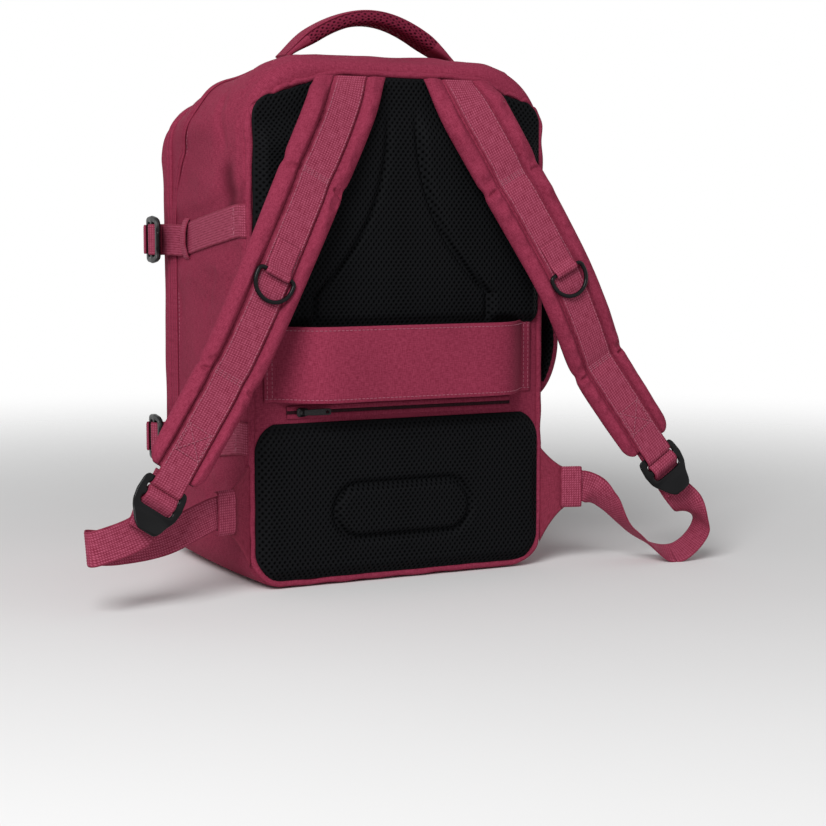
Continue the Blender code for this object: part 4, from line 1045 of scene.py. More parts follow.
ZIP_LINE_Y = (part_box("main_zip_tape")[0][1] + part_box("main_zip_tape")[1][1]) / 2
OVER_TOP = SIDE_COUNT * 2 + CORNER_COUNT * 2 + TOP_COUNT + 1
main_path, main_out, main_side = (v[:OVER_TOP] for v in ring_frame(ZIP_LINE_Y, 0.0))
below_top = smooth((FULL_TOP - main_path[:, 2]) / FULL_RUN)
main_full = ZIP_FULLNESS * np.maximum(ramp(np.abs(main_path[:, 0]), *FULL_OUT), below_top)
zip_along("main_zip", main_path, main_side, main_out, "pack", "main_zip_tape", main_full)


def straight_zip(name, node, body, way):
    """A straight zip across a flat wall, in the middle of its packed tape."""
    low, high = corners(node)
    x = np.linspace(low[0], high[0], 120)
    face = high[1] if way < 0 else low[1]
    path = np.stack([x, np.full_like(x, face - way * GAP), np.full_like(x, (low[2] + high[2]) / 2)], axis=-1)
    up = spread(UP, path)
    out = spread([0.0, float(way), 0.0], path)
    zip_along(name, path, up, out, body, node, np.zeros(len(path)))


straight_zip("back_zip", "back_zip_tape", "pack", -1)
straight_zip("front_zip", "front_zip_tape", "lid", 1)

# %% [markdown]
# ### The seam over the shoulders
# The side panels are sewn to the front with a covered seam. It starts beside the zip and bends back over
# the shoulders. Each point of it has its own depth, so it is read from the body's rings one by one: ring
# number k gives point number k, which is the diagonal of a table of rings.

# %% The seam over the shoulders
SEAM_FRONT, SEAM_BACK, SEAM_BEND, SEAM_RISE = 0.0590, 0.0050, 0.270, 0.115
SEAM_APART = 0.0023


def on_body(depths, inset=0.0):
    """Points of the body, each on the ring at its own depth: the diagonal of the table of rings."""
    number = np.arange(len(depths))
    return outline(depths, inset)[number, number]


seam_depth = SEAM_FRONT + (SEAM_BACK - SEAM_FRONT) * ramp(main_path[:, 2], SEAM_BEND, SEAM_RISE)
seam_out = unit(on_body(seam_depth) - on_body(seam_depth, NUDGE))
seam_path = on_body(seam_depth)
seam_path += seam_out * side_slack(seam_path)[:, None]
seam_side = unit(np.cross(unit(np.gradient(seam_path, axis=0)), seam_out))
seam_full = np.full(len(seam_depth), SEAM_FULLNESS)
rolls("shoulder_seam", seam_path, seam_side, seam_out, "pack", "shell_fabric", seam_full, SEAM_APART)

# %% [markdown]
# ### Sliders and pull tabs
# A slider is a small die-cast body with a bridge that holds the pull tab. The body is rounded boxes
# in effect, so each row of its grid is a superellipse, whose width and height follow the slider's
# own outline. The tab is a flat cage with an eye, thickened and smoothed by modifiers.

# %% Sliders
ZIPS = {
    "back_zip": ("back_runner", "back_pull", (0, -1, 0), 1),
    "main_zip_left": ("main_left_runner", "main_left_pull", (0, 0, 1), -1),
    "main_zip_right": ("main_right_runner", "main_right_pull", (0, 0, 1), 1),
    "front_zip": ("front_runner", "front_pull", (0, 1, 0), 1),
}


def superellipse(count, power):
    """A round-cornered section: cosine and sine, each raised to 2 / power and keeping its sign."""
    ring = circle(1.0, count)
    return np.sign(ring) * np.abs(ring) ** (2 / power)


def zip_axes(node, out):
    """Middle of a packed slider, the way along its zip, across it and out of it."""
    low, high = corners(node)
    along, out = np.array([1.0, 0, 0]), np.array(out, float)
    if out[2]:
        lean = np.array(joints["main_left_pull_flip"]["axis"], float)
        out = unit(np.cross(along, lean))
        out = out * np.sign(out[2])
    return (low + high) / 2, along, np.cross(out, along), out


SLIDER_HALF, SLIDER_REACH, SLIDER_LOW, SLIDER_TOP, SLIDER_TAPER = 0.0034, 0.0049, 0.0014, 0.0004, 0.18
BRIDGE_RISE, BRIDGE_HALF, BRIDGE_RAMP, BRIDGE_NECK, NECK_FOOT = 0.0011, 0.62, 0.25, 0.45, 0.0006


def make_slider(name, out):
    """A slider: its width narrows to one end, and a bridge rises over its middle."""
    centre, along, across, out = zip_axes(f"{name}_slider", out)
    t = np.linspace(-1, 1, 33)
    plan = np.sqrt(np.clip(1 - np.abs(t) ** 6, 0, 1)) * 0.9 + 0.1
    width = SLIDER_HALF * plan * (1 - SLIDER_TAPER * smooth((t + 0.2) / 1.2))
    bridge = smooth((BRIDGE_HALF - np.abs(t)) / BRIDGE_RAMP)
    high, low = (SLIDER_TOP + BRIDGE_RISE * bridge) * plan, SLIDER_LOW * plan
    wide, tall = superellipse(28, 4).T
    tall = np.where(tall > 0, high[:, None], low[:, None]) * tall
    neck = 1 - BRIDGE_NECK * bridge[:, None] * (tall > NECK_FOOT)
    rows = np.stack([wide * width[:, None] * neck, tall], -1)
    path = centre + along * (t * SLIDER_REACH)[:, None]
    return skin(f"{name}_runner_body", carry(path, spread(across, path), spread(out, path), rows), [metal])


MOULDED_LEVELS, BOW_LEVEL = 2, 0.4


def moulding(name, x_lines, y_lines, widths, rise, holes, thick, finish, spot, bow=0.0):
    """A cage in its place: points (x line x width, y line, rise), without the cells that are holes.

    With a bow, the middle stands up and the sides hang down, by the square of the x line. The spot is an
    origin and the ways across, down and out. Solidify gives the cage its thickness, and Subdivision
    Surface rounds it as a moulding is rounded.
    """
    origin, side, down, out = spot
    x_lines = np.array(x_lines)
    x = x_lines * widths[:, None]
    z = rise[:, None] + bow * (BOW_LEVEL - x_lines**2)
    kept = np.ones((len(y_lines) - 1, len(x_lines) - 1), bool)
    for row, first, last in holes:
        kept[row, first:last] = False
    points = origin + x[..., None] * side + y_lines[:, None, None] * down + z[..., None] * out
    faces = quads_of(np.arange(x.size).reshape(x.shape))[kept.ravel()]
    mesh = bpy.data.meshes.new(name)
    mesh.from_pydata(points.reshape(-1, 3).tolist(), [], faces.tolist())
    piece = place(name, mesh, [finish])
    solid = piece.modifiers.new("thickness", "SOLIDIFY")
    solid.thickness, solid.offset = thick, 0
    soft = piece.modifiers.new("rounding", "SUBSURF")
    soft.levels = soft.render_levels = MOULDED_LEVELS
    return piece


TAB_HALF, TAB_THICK = 0.0025, 0.0014
TAB_X = [-1, -0.82, -0.42, 0.42, 0.82, 1]
TAB_Y = np.array([0, 0.0006, 0.0035, 0.0065, 0.0155, 0.0178, 0.0206, 0.0214, 0.022])
TAB_W = np.array([0.85, 0.95, 0.80, 1.0, 1.0, 1.0, 1.0, 0.92, 0.75]) * TAB_HALF
TAB_EYE = [(5, 2, 3)]
for name, (runner, pull, out, way) in ZIPS.items():
    dress(make_slider(name, out), runner, "zip_hardware", f"{name}_slider")
    centre, along, across, normal = zip_axes(f"{name}_slider", out)
    low, high = corners(f"{name}_puller")
    start = centre + normal * (((low + high) / 2 - centre) @ normal)
    tab = moulding(f"{name}_pull_tab", TAB_X, TAB_Y, TAB_W, 0 * TAB_Y, TAB_EYE, TAB_THICK, metal,
                   (start, across * way, along * way, normal))
    dress(tab, pull, "zip_hardware", f"{name}_puller")

# %% [markdown]
# ## Shoulder straps
# Each strap is a long pad that curves out from the top of the back. Its section has two full lobes
# with a sewn channel between, where the webbing lies. The pad is pinched at the bar tacks. A section
# that is a function of the place along the strap says all of this in one formula.

# %% The route of a strap
STRAP_SPACING = 0.090
STRAP_ROUTE = np.array([
    (0.000, 0.0000, 0.000), (0.015, 0.0080, 0.031), (0.038, 0.0160, 0.074),
    (0.060, 0.0240, 0.115), (0.079, 0.0300, 0.151), (0.096, 0.0300, 0.186),
    (0.112, 0.0275, 0.218), (0.135, 0.0310, 0.253), (0.1565, 0.0370, 0.285),
])
STRAP_FINE = 40
STRAP_LAST = len(STRAP_ROUTE) - 1
TOP_HALF, END_HALF = 0.029, 0.0235
TOP_HALF_THICK, FULL_HALF_THICK = 0.0045, 0.0065
CHANNEL, CHANNEL_HALF = 0.0020, 0.0140
ROUND_END, ROUND_FALL, SOFT_END, THICK_RUN = 0.012, 0.85, 0.007, 1.5
BAR_TACKS = (2.0, 6.0)
PINCH, PINCH_WIDTH, NOTCH, NOTCH_WIDTH = 0.30, 0.2, 0.05, 0.09
ROOT_SHARE, ROOT_REST, ROOT_RUN = 0.62, 0.38, 0.5
RING_STATION = 3.85


def strap_lines(side):
    """At fine steps down a strap: its number, middle, way ahead, way across and way out."""
    hinge = np.array(joints["left_strap_swing"]["pos_m"])
    out_way, off, down = STRAP_ROUTE.T
    route = np.stack([side * (STRAP_SPACING / 2 + out_way), hinge[1] - off, hinge[2] - down], axis=-1)
    middle = through(route, STRAP_FINE)
    number = np.arange(len(middle)) / STRAP_FINE
    ahead = unit(np.gradient(middle, axis=0))
    facing = np.array([0.0, -1.0, 0.0])
    out = unit(facing - ahead * (ahead @ facing)[:, None])
    share = smooth(number)[:, None]
    across = unit(np.array([-1.0, 0, 0]) * (1 - share) + np.cross(ahead, out) * share)
    return number, middle, ahead, across, out


def strap_half_thick(number):
    """Half the thickness of the pad: it grows from the top, and is pinched by a bell at each tack."""
    thick = TOP_HALF_THICK + (FULL_HALF_THICK - TOP_HALF_THICK) * smooth(number / THICK_RUN)
    pinch = sum(bell(number - tack, PINCH_WIDTH) for tack in BAR_TACKS)
    thick = thick * (1 - PINCH * pinch) * (ROOT_SHARE + ROOT_REST * smooth(number / ROOT_RUN))
    return thick + (TOP_HALF_THICK - thick) * smooth(number - STRAP_LAST + 1)


def web_height(number):
    """How far the middle of the webbing lies out from the middle of the pad."""
    return strap_half_thick(number) - CHANNEL + GAP + WEB_THICK / 2


def strap_half_width(number, middle):
    """Half the width of the pad: it tapers evenly, and its end is rounded like an ellipse."""
    w = TOP_HALF + (END_HALF - TOP_HALF) * number / STRAP_LAST
    near = np.maximum(0, 1 - np.linalg.norm(middle - middle[-1], axis=1) / ROUND_END)
    w = w * (1 - NOTCH * sum(bell(number - tack, NOTCH_WIDTH) for tack in BAR_TACKS))
    return CHANNEL_HALF + (w - CHANNEL_HALF) * np.sqrt(1 - ROUND_FALL * near**2)

# %% The pads of the straps
FRONT_COLUMNS, UNDER_COLUMNS = 120, 56
LOBE_PEAK, LOBE_FALL = 0.36, 0.64
EDGE_DIP, EDGE_IN, EDGE_WIDTH = 0.5, 0.0004, 0.0007
CROWN_LEAST, CROWN_MORE, RING_FLAT = 0.0006, 0.0017, 0.7
TACK_SLANT, TACK_DIP, TACK_DIP_WIDTH = 0.10, 0.0042, 0.050
TACK_WAVE, TACK_WAVE_LENGTH, TACK_WAVE_WIDTH = 0.0011, 0.38, 0.6
STRAP_SWELLS = ((0.0009, 0.030, 41), (0.0004, 0.012, 42))
UNDER_DIMPLE, UNDER_EDGE = 0.0005, 0.12
LOBE_INSET, LOBE_EDGE = (0.001, 0.004), 0.15


def strap_front(share, w, t, crown):
    """Height of the outer face at a share across: a flat channel, then a lobe as half an ellipse.

    A narrow bell beside the webbing is the seam that holds the lobe down.
    """
    away = np.abs(share) * w
    q = (away - CHANNEL_HALF) / (w - CHANNEL_HALF)
    deep = CHANNEL * np.minimum(1, t / TOP_HALF_THICK)
    climb = t - deep + (deep + crown) * np.sin(np.clip(q / LOBE_PEAK, 0, 1) * np.pi / 2)
    fall = (t + crown) * np.sqrt(np.clip(1 - ((q - LOBE_PEAK) / LOBE_FALL) ** 2, 0, 1))
    face = np.where(q < 0, t - deep, np.where(q < LOBE_PEAK, climb, fall))
    return face - EDGE_DIP * deep * bell(away - CHANNEL_HALF + EDGE_IN, EDGE_WIDTH)


def strap_pad(name, side):
    """A strap's pad: lobes and channel outside, a gentle crown of spacer mesh against the wearer."""
    number, middle, _, across, out = strap_lines(side)
    w = strap_half_width(number, middle)[:, None]
    t = strap_half_thick(number)[:, None]
    near = np.maximum(0, 1 - np.linalg.norm(middle - middle[-1], axis=1) / SOFT_END)[:, None]
    t = t * np.sqrt(1 - RIM_FALL * near**2)
    front = np.linspace(-1, 1, FRONT_COLUMNS + 1)
    under = np.linspace(1, -1, UNDER_COLUMNS + 1)[1:-1]
    station = number[:, None]
    at_ring = bell(station - RING_STATION, RING_FLAT)
    crown = CROWN_MORE * (1 - at_ring) * smooth(station / 0.8) * smooth((STRAP_LAST - station) / 0.5)
    crown = CROWN_LEAST + crown
    lobe = strap_front(front, w, t, crown)
    soft = ramp(np.abs(front) * w - CHANNEL_HALF, *LOBE_INSET) * smooth((1 - np.abs(front)) / LOBE_EDGE)
    for tack in BAR_TACKS:
        beside = station - tack - TACK_SLANT * np.abs(front)
        wave = np.cos(beside * 2 * np.pi / TACK_WAVE_LENGTH) * bell(beside, TACK_WAVE_WIDTH)
        lobe = lobe + soft * (TACK_WAVE * wave - TACK_DIP * bell(beside, TACK_DIP_WIDTH))
    places = middle[:, None] + across[:, None] * (front * w)[..., None]
    lobe = lobe + soft * swells(places, STRAP_SWELLS)
    run = run_of(middle)[:, None]
    hole_and_shade = dimples(under * w, run) * smooth((1 - np.abs(under)) / UNDER_EDGE)
    belly = UNDER_DIMPLE * hole_and_shade - t * np.sqrt(1 - under**4)
    section = np.concatenate([np.stack([front * w, lobe], -1), np.stack([under * w, belly], -1)], axis=1)
    # The holes' mark sinks the mesh and also paints shade into the holes.
    mark = np.concatenate([0 * lobe, hole_and_shade], axis=1)
    paint = (np.arange(section.shape[1]) > FRONT_COLUMNS - 1).astype(int)[None]
    points = carry(middle, across, out, section)
    pad = skin(name, points, [cloth, black_mesh], paint=paint, marks={"hole_and_shade": mark})
    return pad


for name, side in SIDES:
    pad = strap_pad(f"{name}_strap_cover", side)
    dress(pad, f"{name}_strap", "shell_fabric", f"{name}_strap_pad")

# %% [markdown]
# ### Webbing on the straps, its ring and its buckle
# The webbing is sewn down the channel, turns round the top bar of the buckle and is tacked behind. A
# D-ring hangs in a loop of narrower webbing part-way down. The ring is a bent rod, so a circle is
# carried round a closed path of straight runs and arcs.

# %% Webbing and rings
LOOP_REACH = 0.010
LOCK_PIVOT_CLEAR = 0.00372
RING_HALF, RING_DEPTH, RING_WIRE, RING_CORNER = 0.0151, 0.021, 0.0016, 0.0035
RING_LOOP_WIDTH, RING_TAB = 0.020, 24


def ring_line():
    """The closed line of a D: a straight bar, a quarter circle, a half circle and a quarter circle."""
    bar = np.stack([np.linspace(RING_CORNER - RING_HALF, RING_HALF - RING_CORNER, 16)[:-1], np.zeros(15)], -1)
    small, large = turn(-90, 0, 8), turn(0, 180, 40)
    corner = np.stack([np.cos(small), 1 + np.sin(small)], -1) * RING_CORNER + [RING_HALF - RING_CORNER, 0]
    bow = RING_HALF * np.stack([np.cos(large), np.sin(large)], -1) + [0, RING_DEPTH - RING_HALF]
    last = (corner * [-1, 1])[::-1]
    return np.concatenate([bar, corner, bow, [[-RING_HALF, RING_DEPTH - RING_HALF]], last])


buckle_frames = {}
for name, side in SIDES:
    number, middle, ahead, across, out = strap_lines(side)
    level = middle + out * web_height(number)[:, None]
    pivot = middle[-1] + ahead[-1] * LOOP_REACH + out[-1] * (web_height(number[-1]) - LOCK_PIVOT_CLEAR)
    around = np.radians(np.linspace(90, -90, 25))[:, None]
    bend = pivot + LOCK_PIVOT_CLEAR * (ahead[-1] * np.cos(around) + out[-1] * np.sin(around))
    tuck = bend[-1:] - ahead[-1] * (LOOP_REACH - WEB_THICK)
    path = np.concatenate([level, bend, tuck])
    widths = np.concatenate([across, np.repeat(across[-1:], len(bend) + 1, axis=0)])
    strip = band(f"{name}_strap_web", path, widths, WEB_WIDTH, WEB_THICK, webbing, sheared=True)
    dress(strip, f"{name}_strap", "webbing", f"{name}_strap_webbing")
    buckle_frames[name] = (pivot, ahead[-1], out[-1])

    at = round(RING_STATION * STRAP_FINE)
    bar = level[at] + out[at] * (WEB_THICK / 2 + RING_WIRE + 2 * GAP)
    line = ring_line()
    path = bar + line[:, :1] * across[at] + line[:, 1:] * ahead[at]
    tangent = unit(np.roll(path, -1, 0) - np.roll(path, 1, 0))
    up = spread(out[at], path)
    points = carry(path, np.cross(tangent, up), up, circle(RING_WIRE, 16))
    ring = skin(f"{name}_ring", points, [plastic], loop=True)
    dress(ring, f"{name}_ring", "buckle_plastic", f"{name}_d_ring")

    reach = RING_WIRE + GAP + WEB_THICK / 2
    sweep = np.radians(np.linspace(-20, -160, 15))[:, None]
    loop = bar - reach * (ahead[at] * np.cos(sweep) + out[at] * np.sin(sweep))
    tab = slice(at - RING_TAB, at - 6)
    sewn = level[tab] + out[tab] * (WEB_THICK + GAP)
    loop = np.concatenate([sewn, loop])
    loop[-1] += out[at] * GAP
    widths = np.repeat(across[at:at + 1], len(loop), 0)
    strip = band(f"{name}_ring_loop", loop, widths, RING_LOOP_WIDTH, WEB_THICK, webbing)
    dress(strip, f"{name}_strap", "webbing", f"{name}_d_ring_loop")

# %% [markdown]
# ## Ladder-lock buckles
# A ladder lock is one moulding: a frame with two slots and a thumb tab that is lifted to let the
# webbing slip. It starts as a flat cage of cells without the two slots. Solidify and Subdivision
# Surface then give it the thick, rounded look of a moulding, with real holes for the webbing.

# %% Buckles
LOCK_HALF = 0.01825
SLOT_SHARE = 0.726
LOCK_Y = np.array([-0.0024, -0.0012, 0.0016, 0.0022, 0.0088, 0.0096, 0.0114, 0.0122, 0.0188, 0.0200, 0.0232,
                   0.0262, 0.0310, 0.0345, 0.0366])
LOCK_W = np.array([0.84, 0.96, 1.01, 1.02, 1.05, 1.06, 1.06, 1.05, 1.0, 0.96, 0.88, 0.76, 0.64, 0.50, 0.30])
LOCK_SLOTS = [(3, 2, 6), (7, 2, 6)]
LOCK_THICK, LOCK_BOW = 0.0033, 0.0020
TAB_FOOT, TAB_RISE = 0.0238, 0.45


LOCK_X = [-1, -0.90, -SLOT_SHARE, -0.36, 0, 0.36, SLOT_SHARE, 0.90, 1]
LOCK_CROWN, LOCK_MIDDLE, LOCK_REACH = 0.0005, 0.0105, 0.0135


def make_lock(name, body, node, pivot, down, out, bow):
    """A buckle at its pivot; X is its width, Y runs down from its top bar and Z is outwards."""
    rise = TAB_RISE * np.maximum(0, LOCK_Y - TAB_FOOT)
    rise = rise + LOCK_CROWN * np.cos((LOCK_Y - LOCK_MIDDLE) / LOCK_REACH * np.pi / 2)
    spot = (pivot, np.cross(down, out), down, out)
    widths = LOCK_W * LOCK_HALF
    lock = moulding(name, LOCK_X, LOCK_Y, widths, rise, LOCK_SLOTS, LOCK_THICK, plastic, spot, bow)
    return dress(lock, body, "buckle_plastic", node)


LOCK_GRIP, LOCK_BELOW, LOCK_FOOT = 0.0088, 0.0122, 0.0188
LOCK_SKIN, LOCK_LEAD, SLOT_MIDDLE = 0.0030, 0.018, 0.0033


def threading(pivot, down, out, tail=0.017, apex=0.0040, behind=2.2):
    """Points of webbing in a buckle: up behind it, over the gripping bar and down to a tail."""
    s = LOCK_SKIN
    line = [
        (LOCK_FOOT + LOCK_LEAD, -(behind + 0.3) * s), (LOCK_FOOT, -behind * s), (LOCK_BELOW, -1.6 * s),
        (LOCK_GRIP, -1.1 * s), (LOCK_GRIP - apex, 0), (LOCK_GRIP, s), (LOCK_BELOW, s),
        (LOCK_BELOW + SLOT_MIDDLE, 0), (LOCK_FOOT, -s), (LOCK_FOOT + 0.3 * tail, -s),
        (LOCK_FOOT + tail, -0.9 * s),
    ]
    return np.array([pivot + down * along + out * off for along, off in line])


def lengths(name, kinds, path, widths, cuts):
    """Webbing cut at points of its path, so that each length can follow its own bodies."""
    ends = [0, *cuts, len(path) - 1]
    parts = [(f"{name}_{kind}_web", slice(a, b + 1)) for kind, a, b in zip(kinds, ends, ends[1:])]
    return [band(label, path[part], widths[part], WEB_WIDTH, WEB_THICK, webbing)
            for label, part in parts]


def follow(strip):
    """Bakes a strip's transform into its mesh."""
    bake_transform(strip)
    print(strip.name, "blended,", len(strip.data.polygons), "faces")


for name, side in SIDES:
    pivot, ahead, out = buckle_frames[name]
    make_lock(f"{name}_buckle_moulding", f"{name}_buckle", f"{name}_ladder_lock", pivot, ahead, out, LOCK_BOW)

# %% [markdown]
# ### Wings and the webbing that adjusts the straps
# At the foot of the back seam sits a stiff wing of cloth on either side, and from it slack webbing
# hangs to the buckle of the shoulder strap. The slack has a route given point by point, with the way
# that the width points there, because that is how it happens to twist in use. It crosses two joints,
# so it is cut in two: the slack, and the length that is threaded through the buckle.

# %% Wings
WING_SHARES = 32
WING_THICK = 0.0024
WING_DROP = 0.008
WING_LEAN = math.atan2(0.010, 0.030)
WING_COLUMNS = 36
WING_END_FOOT, WING_END_TOP, WING_WEB_Z = 0.050, 0.076, 0.063
WING_PUFF, WING_HEM, HEM_SHARE, HEM_WIDTH = 0.0006, 0.0004, 0.90, 0.06
WEB_ON_WING, WEB_PAST_WING = 0.014, 0.006


def wing_lines(name, side):
    """Middle line of a wing, from the seam to its end, and its low and high edge there."""
    low, high = corners(f"{name}_wing")
    lean, lift = WING_THICK / 2 * math.sin(WING_LEAN), WING_THICK / 2 * math.cos(WING_LEAN)
    near, far = (low[0] + lean, high[0] - lean) if side > 0 else (high[0] - lean, low[0] + lean)
    root, end = np.array([near, high[1] - lift, 0]), np.array([far, low[1] + lift, 0])
    share = np.linspace(0, 1, WING_SHARES)
    hollow = share * (2 - share)
    root_foot = low[2] - WING_DROP
    foot = root_foot + (WING_END_FOOT - root_foot) * hollow
    top = high[2] + (WING_END_TOP - high[2]) * hollow
    middle = root + (end - root) * share[:, None]
    return middle + np.stack([0 * foot, 0 * foot, (foot + top) / 2], -1), foot, top


wing_ends = {}
for name, side in SIDES:
    line, foot, top = wing_lines(name, side)
    along = unit(line[-1] * [1, 1, 0] - line[0] * [1, 1, 0])
    out = np.cross(UP, along) * side
    out = out if out[1] < 0 else -out
    share = np.linspace(-1, 1, WING_COLUMNS + 1)
    share = np.concatenate([share, share[-2:0:-1]])
    face = np.where(np.arange(len(share)) <= WING_COLUMNS, 1, -1)
    puff = WING_PUFF * np.sin(np.pi * (np.arange(WING_SHARES) / (WING_SHARES - 1)))[:, None] * (1 - share**2)
    thick = WING_THICK / 2 * np.sqrt(1 - share**10) * face
    hem = WING_HEM * bell(np.abs(share) - HEM_SHARE, HEM_WIDTH) * face
    section = np.stack([share * (top - foot)[:, None] / 2, thick + hem + puff], -1)
    up = spread(UP, line)
    wing = skin(f"{name}_wing_cover", carry(line, up, spread(out, line), section), [flap_cloth])
    dress(wing, "pack", "shell_fabric", f"{name}_wing")
    middle = np.array([*line[-1][:2], WING_WEB_Z]) + out * (WING_THICK / 2 + GAP + WEB_THICK / 2)
    wing_ends[name] = (middle - along * WEB_ON_WING, middle + along * WEB_PAST_WING, along, out)

# %% The adjusting webbing
SLACK = {
    "right": (
        (0.20, (0.006, 0.004, -0.012), (-0.1, -0.7, 0.7)),
        (0.45, (0.008, 0.004, -0.036), (-0.3, -0.9, 0.2)),
        (0.78, (0.020, 0.004, -0.055), (-0.2, -0.9, -0.5)),
        (1.00, (0.028, 0.003, -0.030), (0.0, -0.95, -0.3)),
    ),
    "left": (
        (0.40, (-0.012, 0.006, -0.012), (0.0, 0.1, 1.0)),
        (0.75, (-0.026, 0.012, -0.014), (0.0, 0.2, 1.0)),
        (0.95, (-0.036, 0.010, -0.010), (0.0, 0.2, 1.0)),
        (1.00, (-0.032, -0.002, -0.009), (-0.1, 0.1, 1.0)),
    ),
}
SLACK_STEPS, SLACK_CUT = 24, 4
for name, side in SIDES:
    pivot, ahead, out = buckle_frames[name]
    first, second = wing_ends[name][:2]
    threaded = threading(pivot, ahead, out)
    in_lock = np.cross(ahead, out) * -side
    route, ways = [first, second], [UP] * 2
    for share, move, way in SLACK[name]:
        route.append(second + (threaded[0] - second) * share + np.array(move))
        ways.append(unit(np.array(way)))
    route = np.array(route + list(threaded))
    ways = np.array(ways + [in_lock] * len(threaded))
    path, widths = through(route, SLACK_STEPS), eased(ways, SLACK_STEPS)
    cuts = [SLACK_CUT * SLACK_STEPS]
    slack, held_end = lengths(name, ("adjusting", "threaded"), path, widths, cuts)
    follow(slack)
    follow(held_end)
    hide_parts(f"{name}_lower_webbing")

# %% [markdown]
# ### Compression straps
# Two straps cross each side and pull the lid towards the back. Each is sewn in at the back seam, runs
# along the side and up through a ladder lock, which hangs in a loop sewn to the lid. It is cut
# under its keeper, where it is drawn out when the lid opens, and again on the gripping bar, and the
# tail rides on the lock.

# %% Compression straps
STRAP_STEPS, STRAP_CUTS = 16, (107, 192)
STRAP_TAIL, STRAP_APEX, STRAP_BEHIND = 0.004, 0.0030, 1.9
LOOP_WIDTH = 0.0236
TUCK_ANGLES, LOOP_ANGLES = (62.0, 40.0, 18.0), (180, -30)
for name, side in SIDES:
    for level, z in STRAP_HEIGHTS.items():
        label = f"{name}_{level}"
        pivot = np.array(joints[f"{label}_lock_tilt"]["pos_m"])
        down, out = np.array([0.0, -1.0, 0.0]), np.array([float(side), 0.0, 0.0])
        node = f"{label}_compression_ladder_lock"
        make_lock(f"{label}_lock_moulding", f"{label}_lock", node, pivot, down, out, 0.0)
        y = np.linspace(STRAP_START, STRAP_LEAVE, 5)
        skin_gap = GAP + WEB_THICK / 2
        laid = np.stack([side * (half_width(y) + skin_gap), y, strap_middle(y, z)], -1)
        angle = np.radians(TUCK_ANGLES)
        tucked_x = side * (BODY_HALF - BACK_ROLL + (BACK_ROLL + skin_gap) * np.cos(angle))
        tucked_y = BACK_Y + BACK_ROLL - (BACK_ROLL + skin_gap) * np.sin(angle)
        laid = np.concatenate([np.stack([tucked_x, tucked_y, strap_middle(tucked_y, z)], -1), laid])
        threaded = threading(pivot, down, out, STRAP_TAIL, STRAP_APEX, STRAP_BEHIND)
        path = through(np.concatenate([laid, threaded]), STRAP_STEPS)
        widths = spread(np.cross(down, out), path)
        kinds = ("side", "threaded", "tail")
        strip, held_end, tail = lengths(label, kinds, path, widths, STRAP_CUTS)
        dress(strip, "pack", "webbing", f"{label}_compression_strap")
        follow(held_end)
        dress(tail, f"{label}_lock", "webbing")
        around = np.radians(np.linspace(*LOOP_ANGLES, 25))[:, None]
        bend = pivot + LOCK_PIVOT_CLEAR * (out * np.cos(around) - down * np.sin(around))
        x = side * (half_width(ZIP_Y) + skin_gap)
        sewn = np.array([(x, LID_Y + WEB_THICK, z), (x, FRONT_Y - LID_ROLL, z)])
        loop = np.concatenate([sewn, bend])
        widths = spread(np.cross(down, out), loop)
        strip = band(f"{label}_lid_loop", loop, widths, LOOP_WIDTH, WEB_THICK, webbing)
        dress(strip, "lid", "webbing", f"{label}_compression_loop")

# %% [markdown]
# ### Keepers
# A keeper is a short sleeve of webbing that holds a strap flat against what it lies on. One covers the
# sewn end of each adjusting strap on its wing, and a rolled one holds the tail of each compression
# strap. Both are bands whose path goes up one edge, over the strap and down the other.

# %% Keepers
KEEPER_THICK, KEEPER_FOOT, KEEPER_EASE = 0.0012, -0.0022, 2.2
WING_KEEPER, WING_KEEPER_AT = (0.0158, 0.0021, 0.0175), 0.0075
SIDE_KEEPER, SIDE_KEEPER_BACK = (0.0148, 0.0040, 0.011), 0.008


def keeper(name, middle, out, half, lift, width):
    """A band round a strap: in the plane of (up, out) it rises at one edge, crosses and goes down."""
    ease = KEEPER_EASE * lift
    line = [(-half, KEEPER_FOOT), (-half, 0.3 * lift), (ease - half, lift), (0, 1.08 * lift),
            (half - ease, lift), (half, 0.3 * lift), (half, KEEPER_FOOT)]
    path = through([middle + UP * a + out * o for a, o in line], 8)
    strip = band(name, path, spread(np.cross(UP, out), path), width, KEEPER_THICK, webbing)
    dress(strip, "pack", "webbing")


for name, side in SIDES:
    first, _, along, out = wing_ends[name]
    keeper(f"{name}_wing_keeper", first + along * WING_KEEPER_AT, out, *WING_KEEPER)
    for level, z in STRAP_HEIGHTS.items():
        y = STRAP_LEAVE - SIDE_KEEPER_BACK
        middle = np.array([side * (half_width(y) + GAP), y, strap_middle(y, z)])
        keeper(f"{name}_{level}_keeper", middle, np.array([float(side), 0, 0]), *SIDE_KEEPER)

# %% [markdown]
# ## Handles
# A grab handle is a padded arch: woven cloth outside, soft mesh against the fingers. Its ends are
# sewn flat into the seam. The arch is a power of a sine, and its section is a flattened ellipse.

# %% Handles
HANDLE_HALF, HANDLE_THICK, HANDLE_SEWN = 0.0145, 0.0060, 0.0022
HANDLE_SEAT = 0.0085
HANDLE_STEPS, HANDLE_COLUMNS = 300, 120
HANDLE_TAB = 0.013
HANDLE_ROOT, HANDLE_REST, WIDEN, THICKEN = 0.88, 0.12, 0.012, 0.018
ACROSS_POWER, UP_POWER = 0.6, 0.7
GRIP_SEAM, GRIP_SEAM_WIDTH, GRIP_DIMPLE = 0.20, 0.10, 0.0007


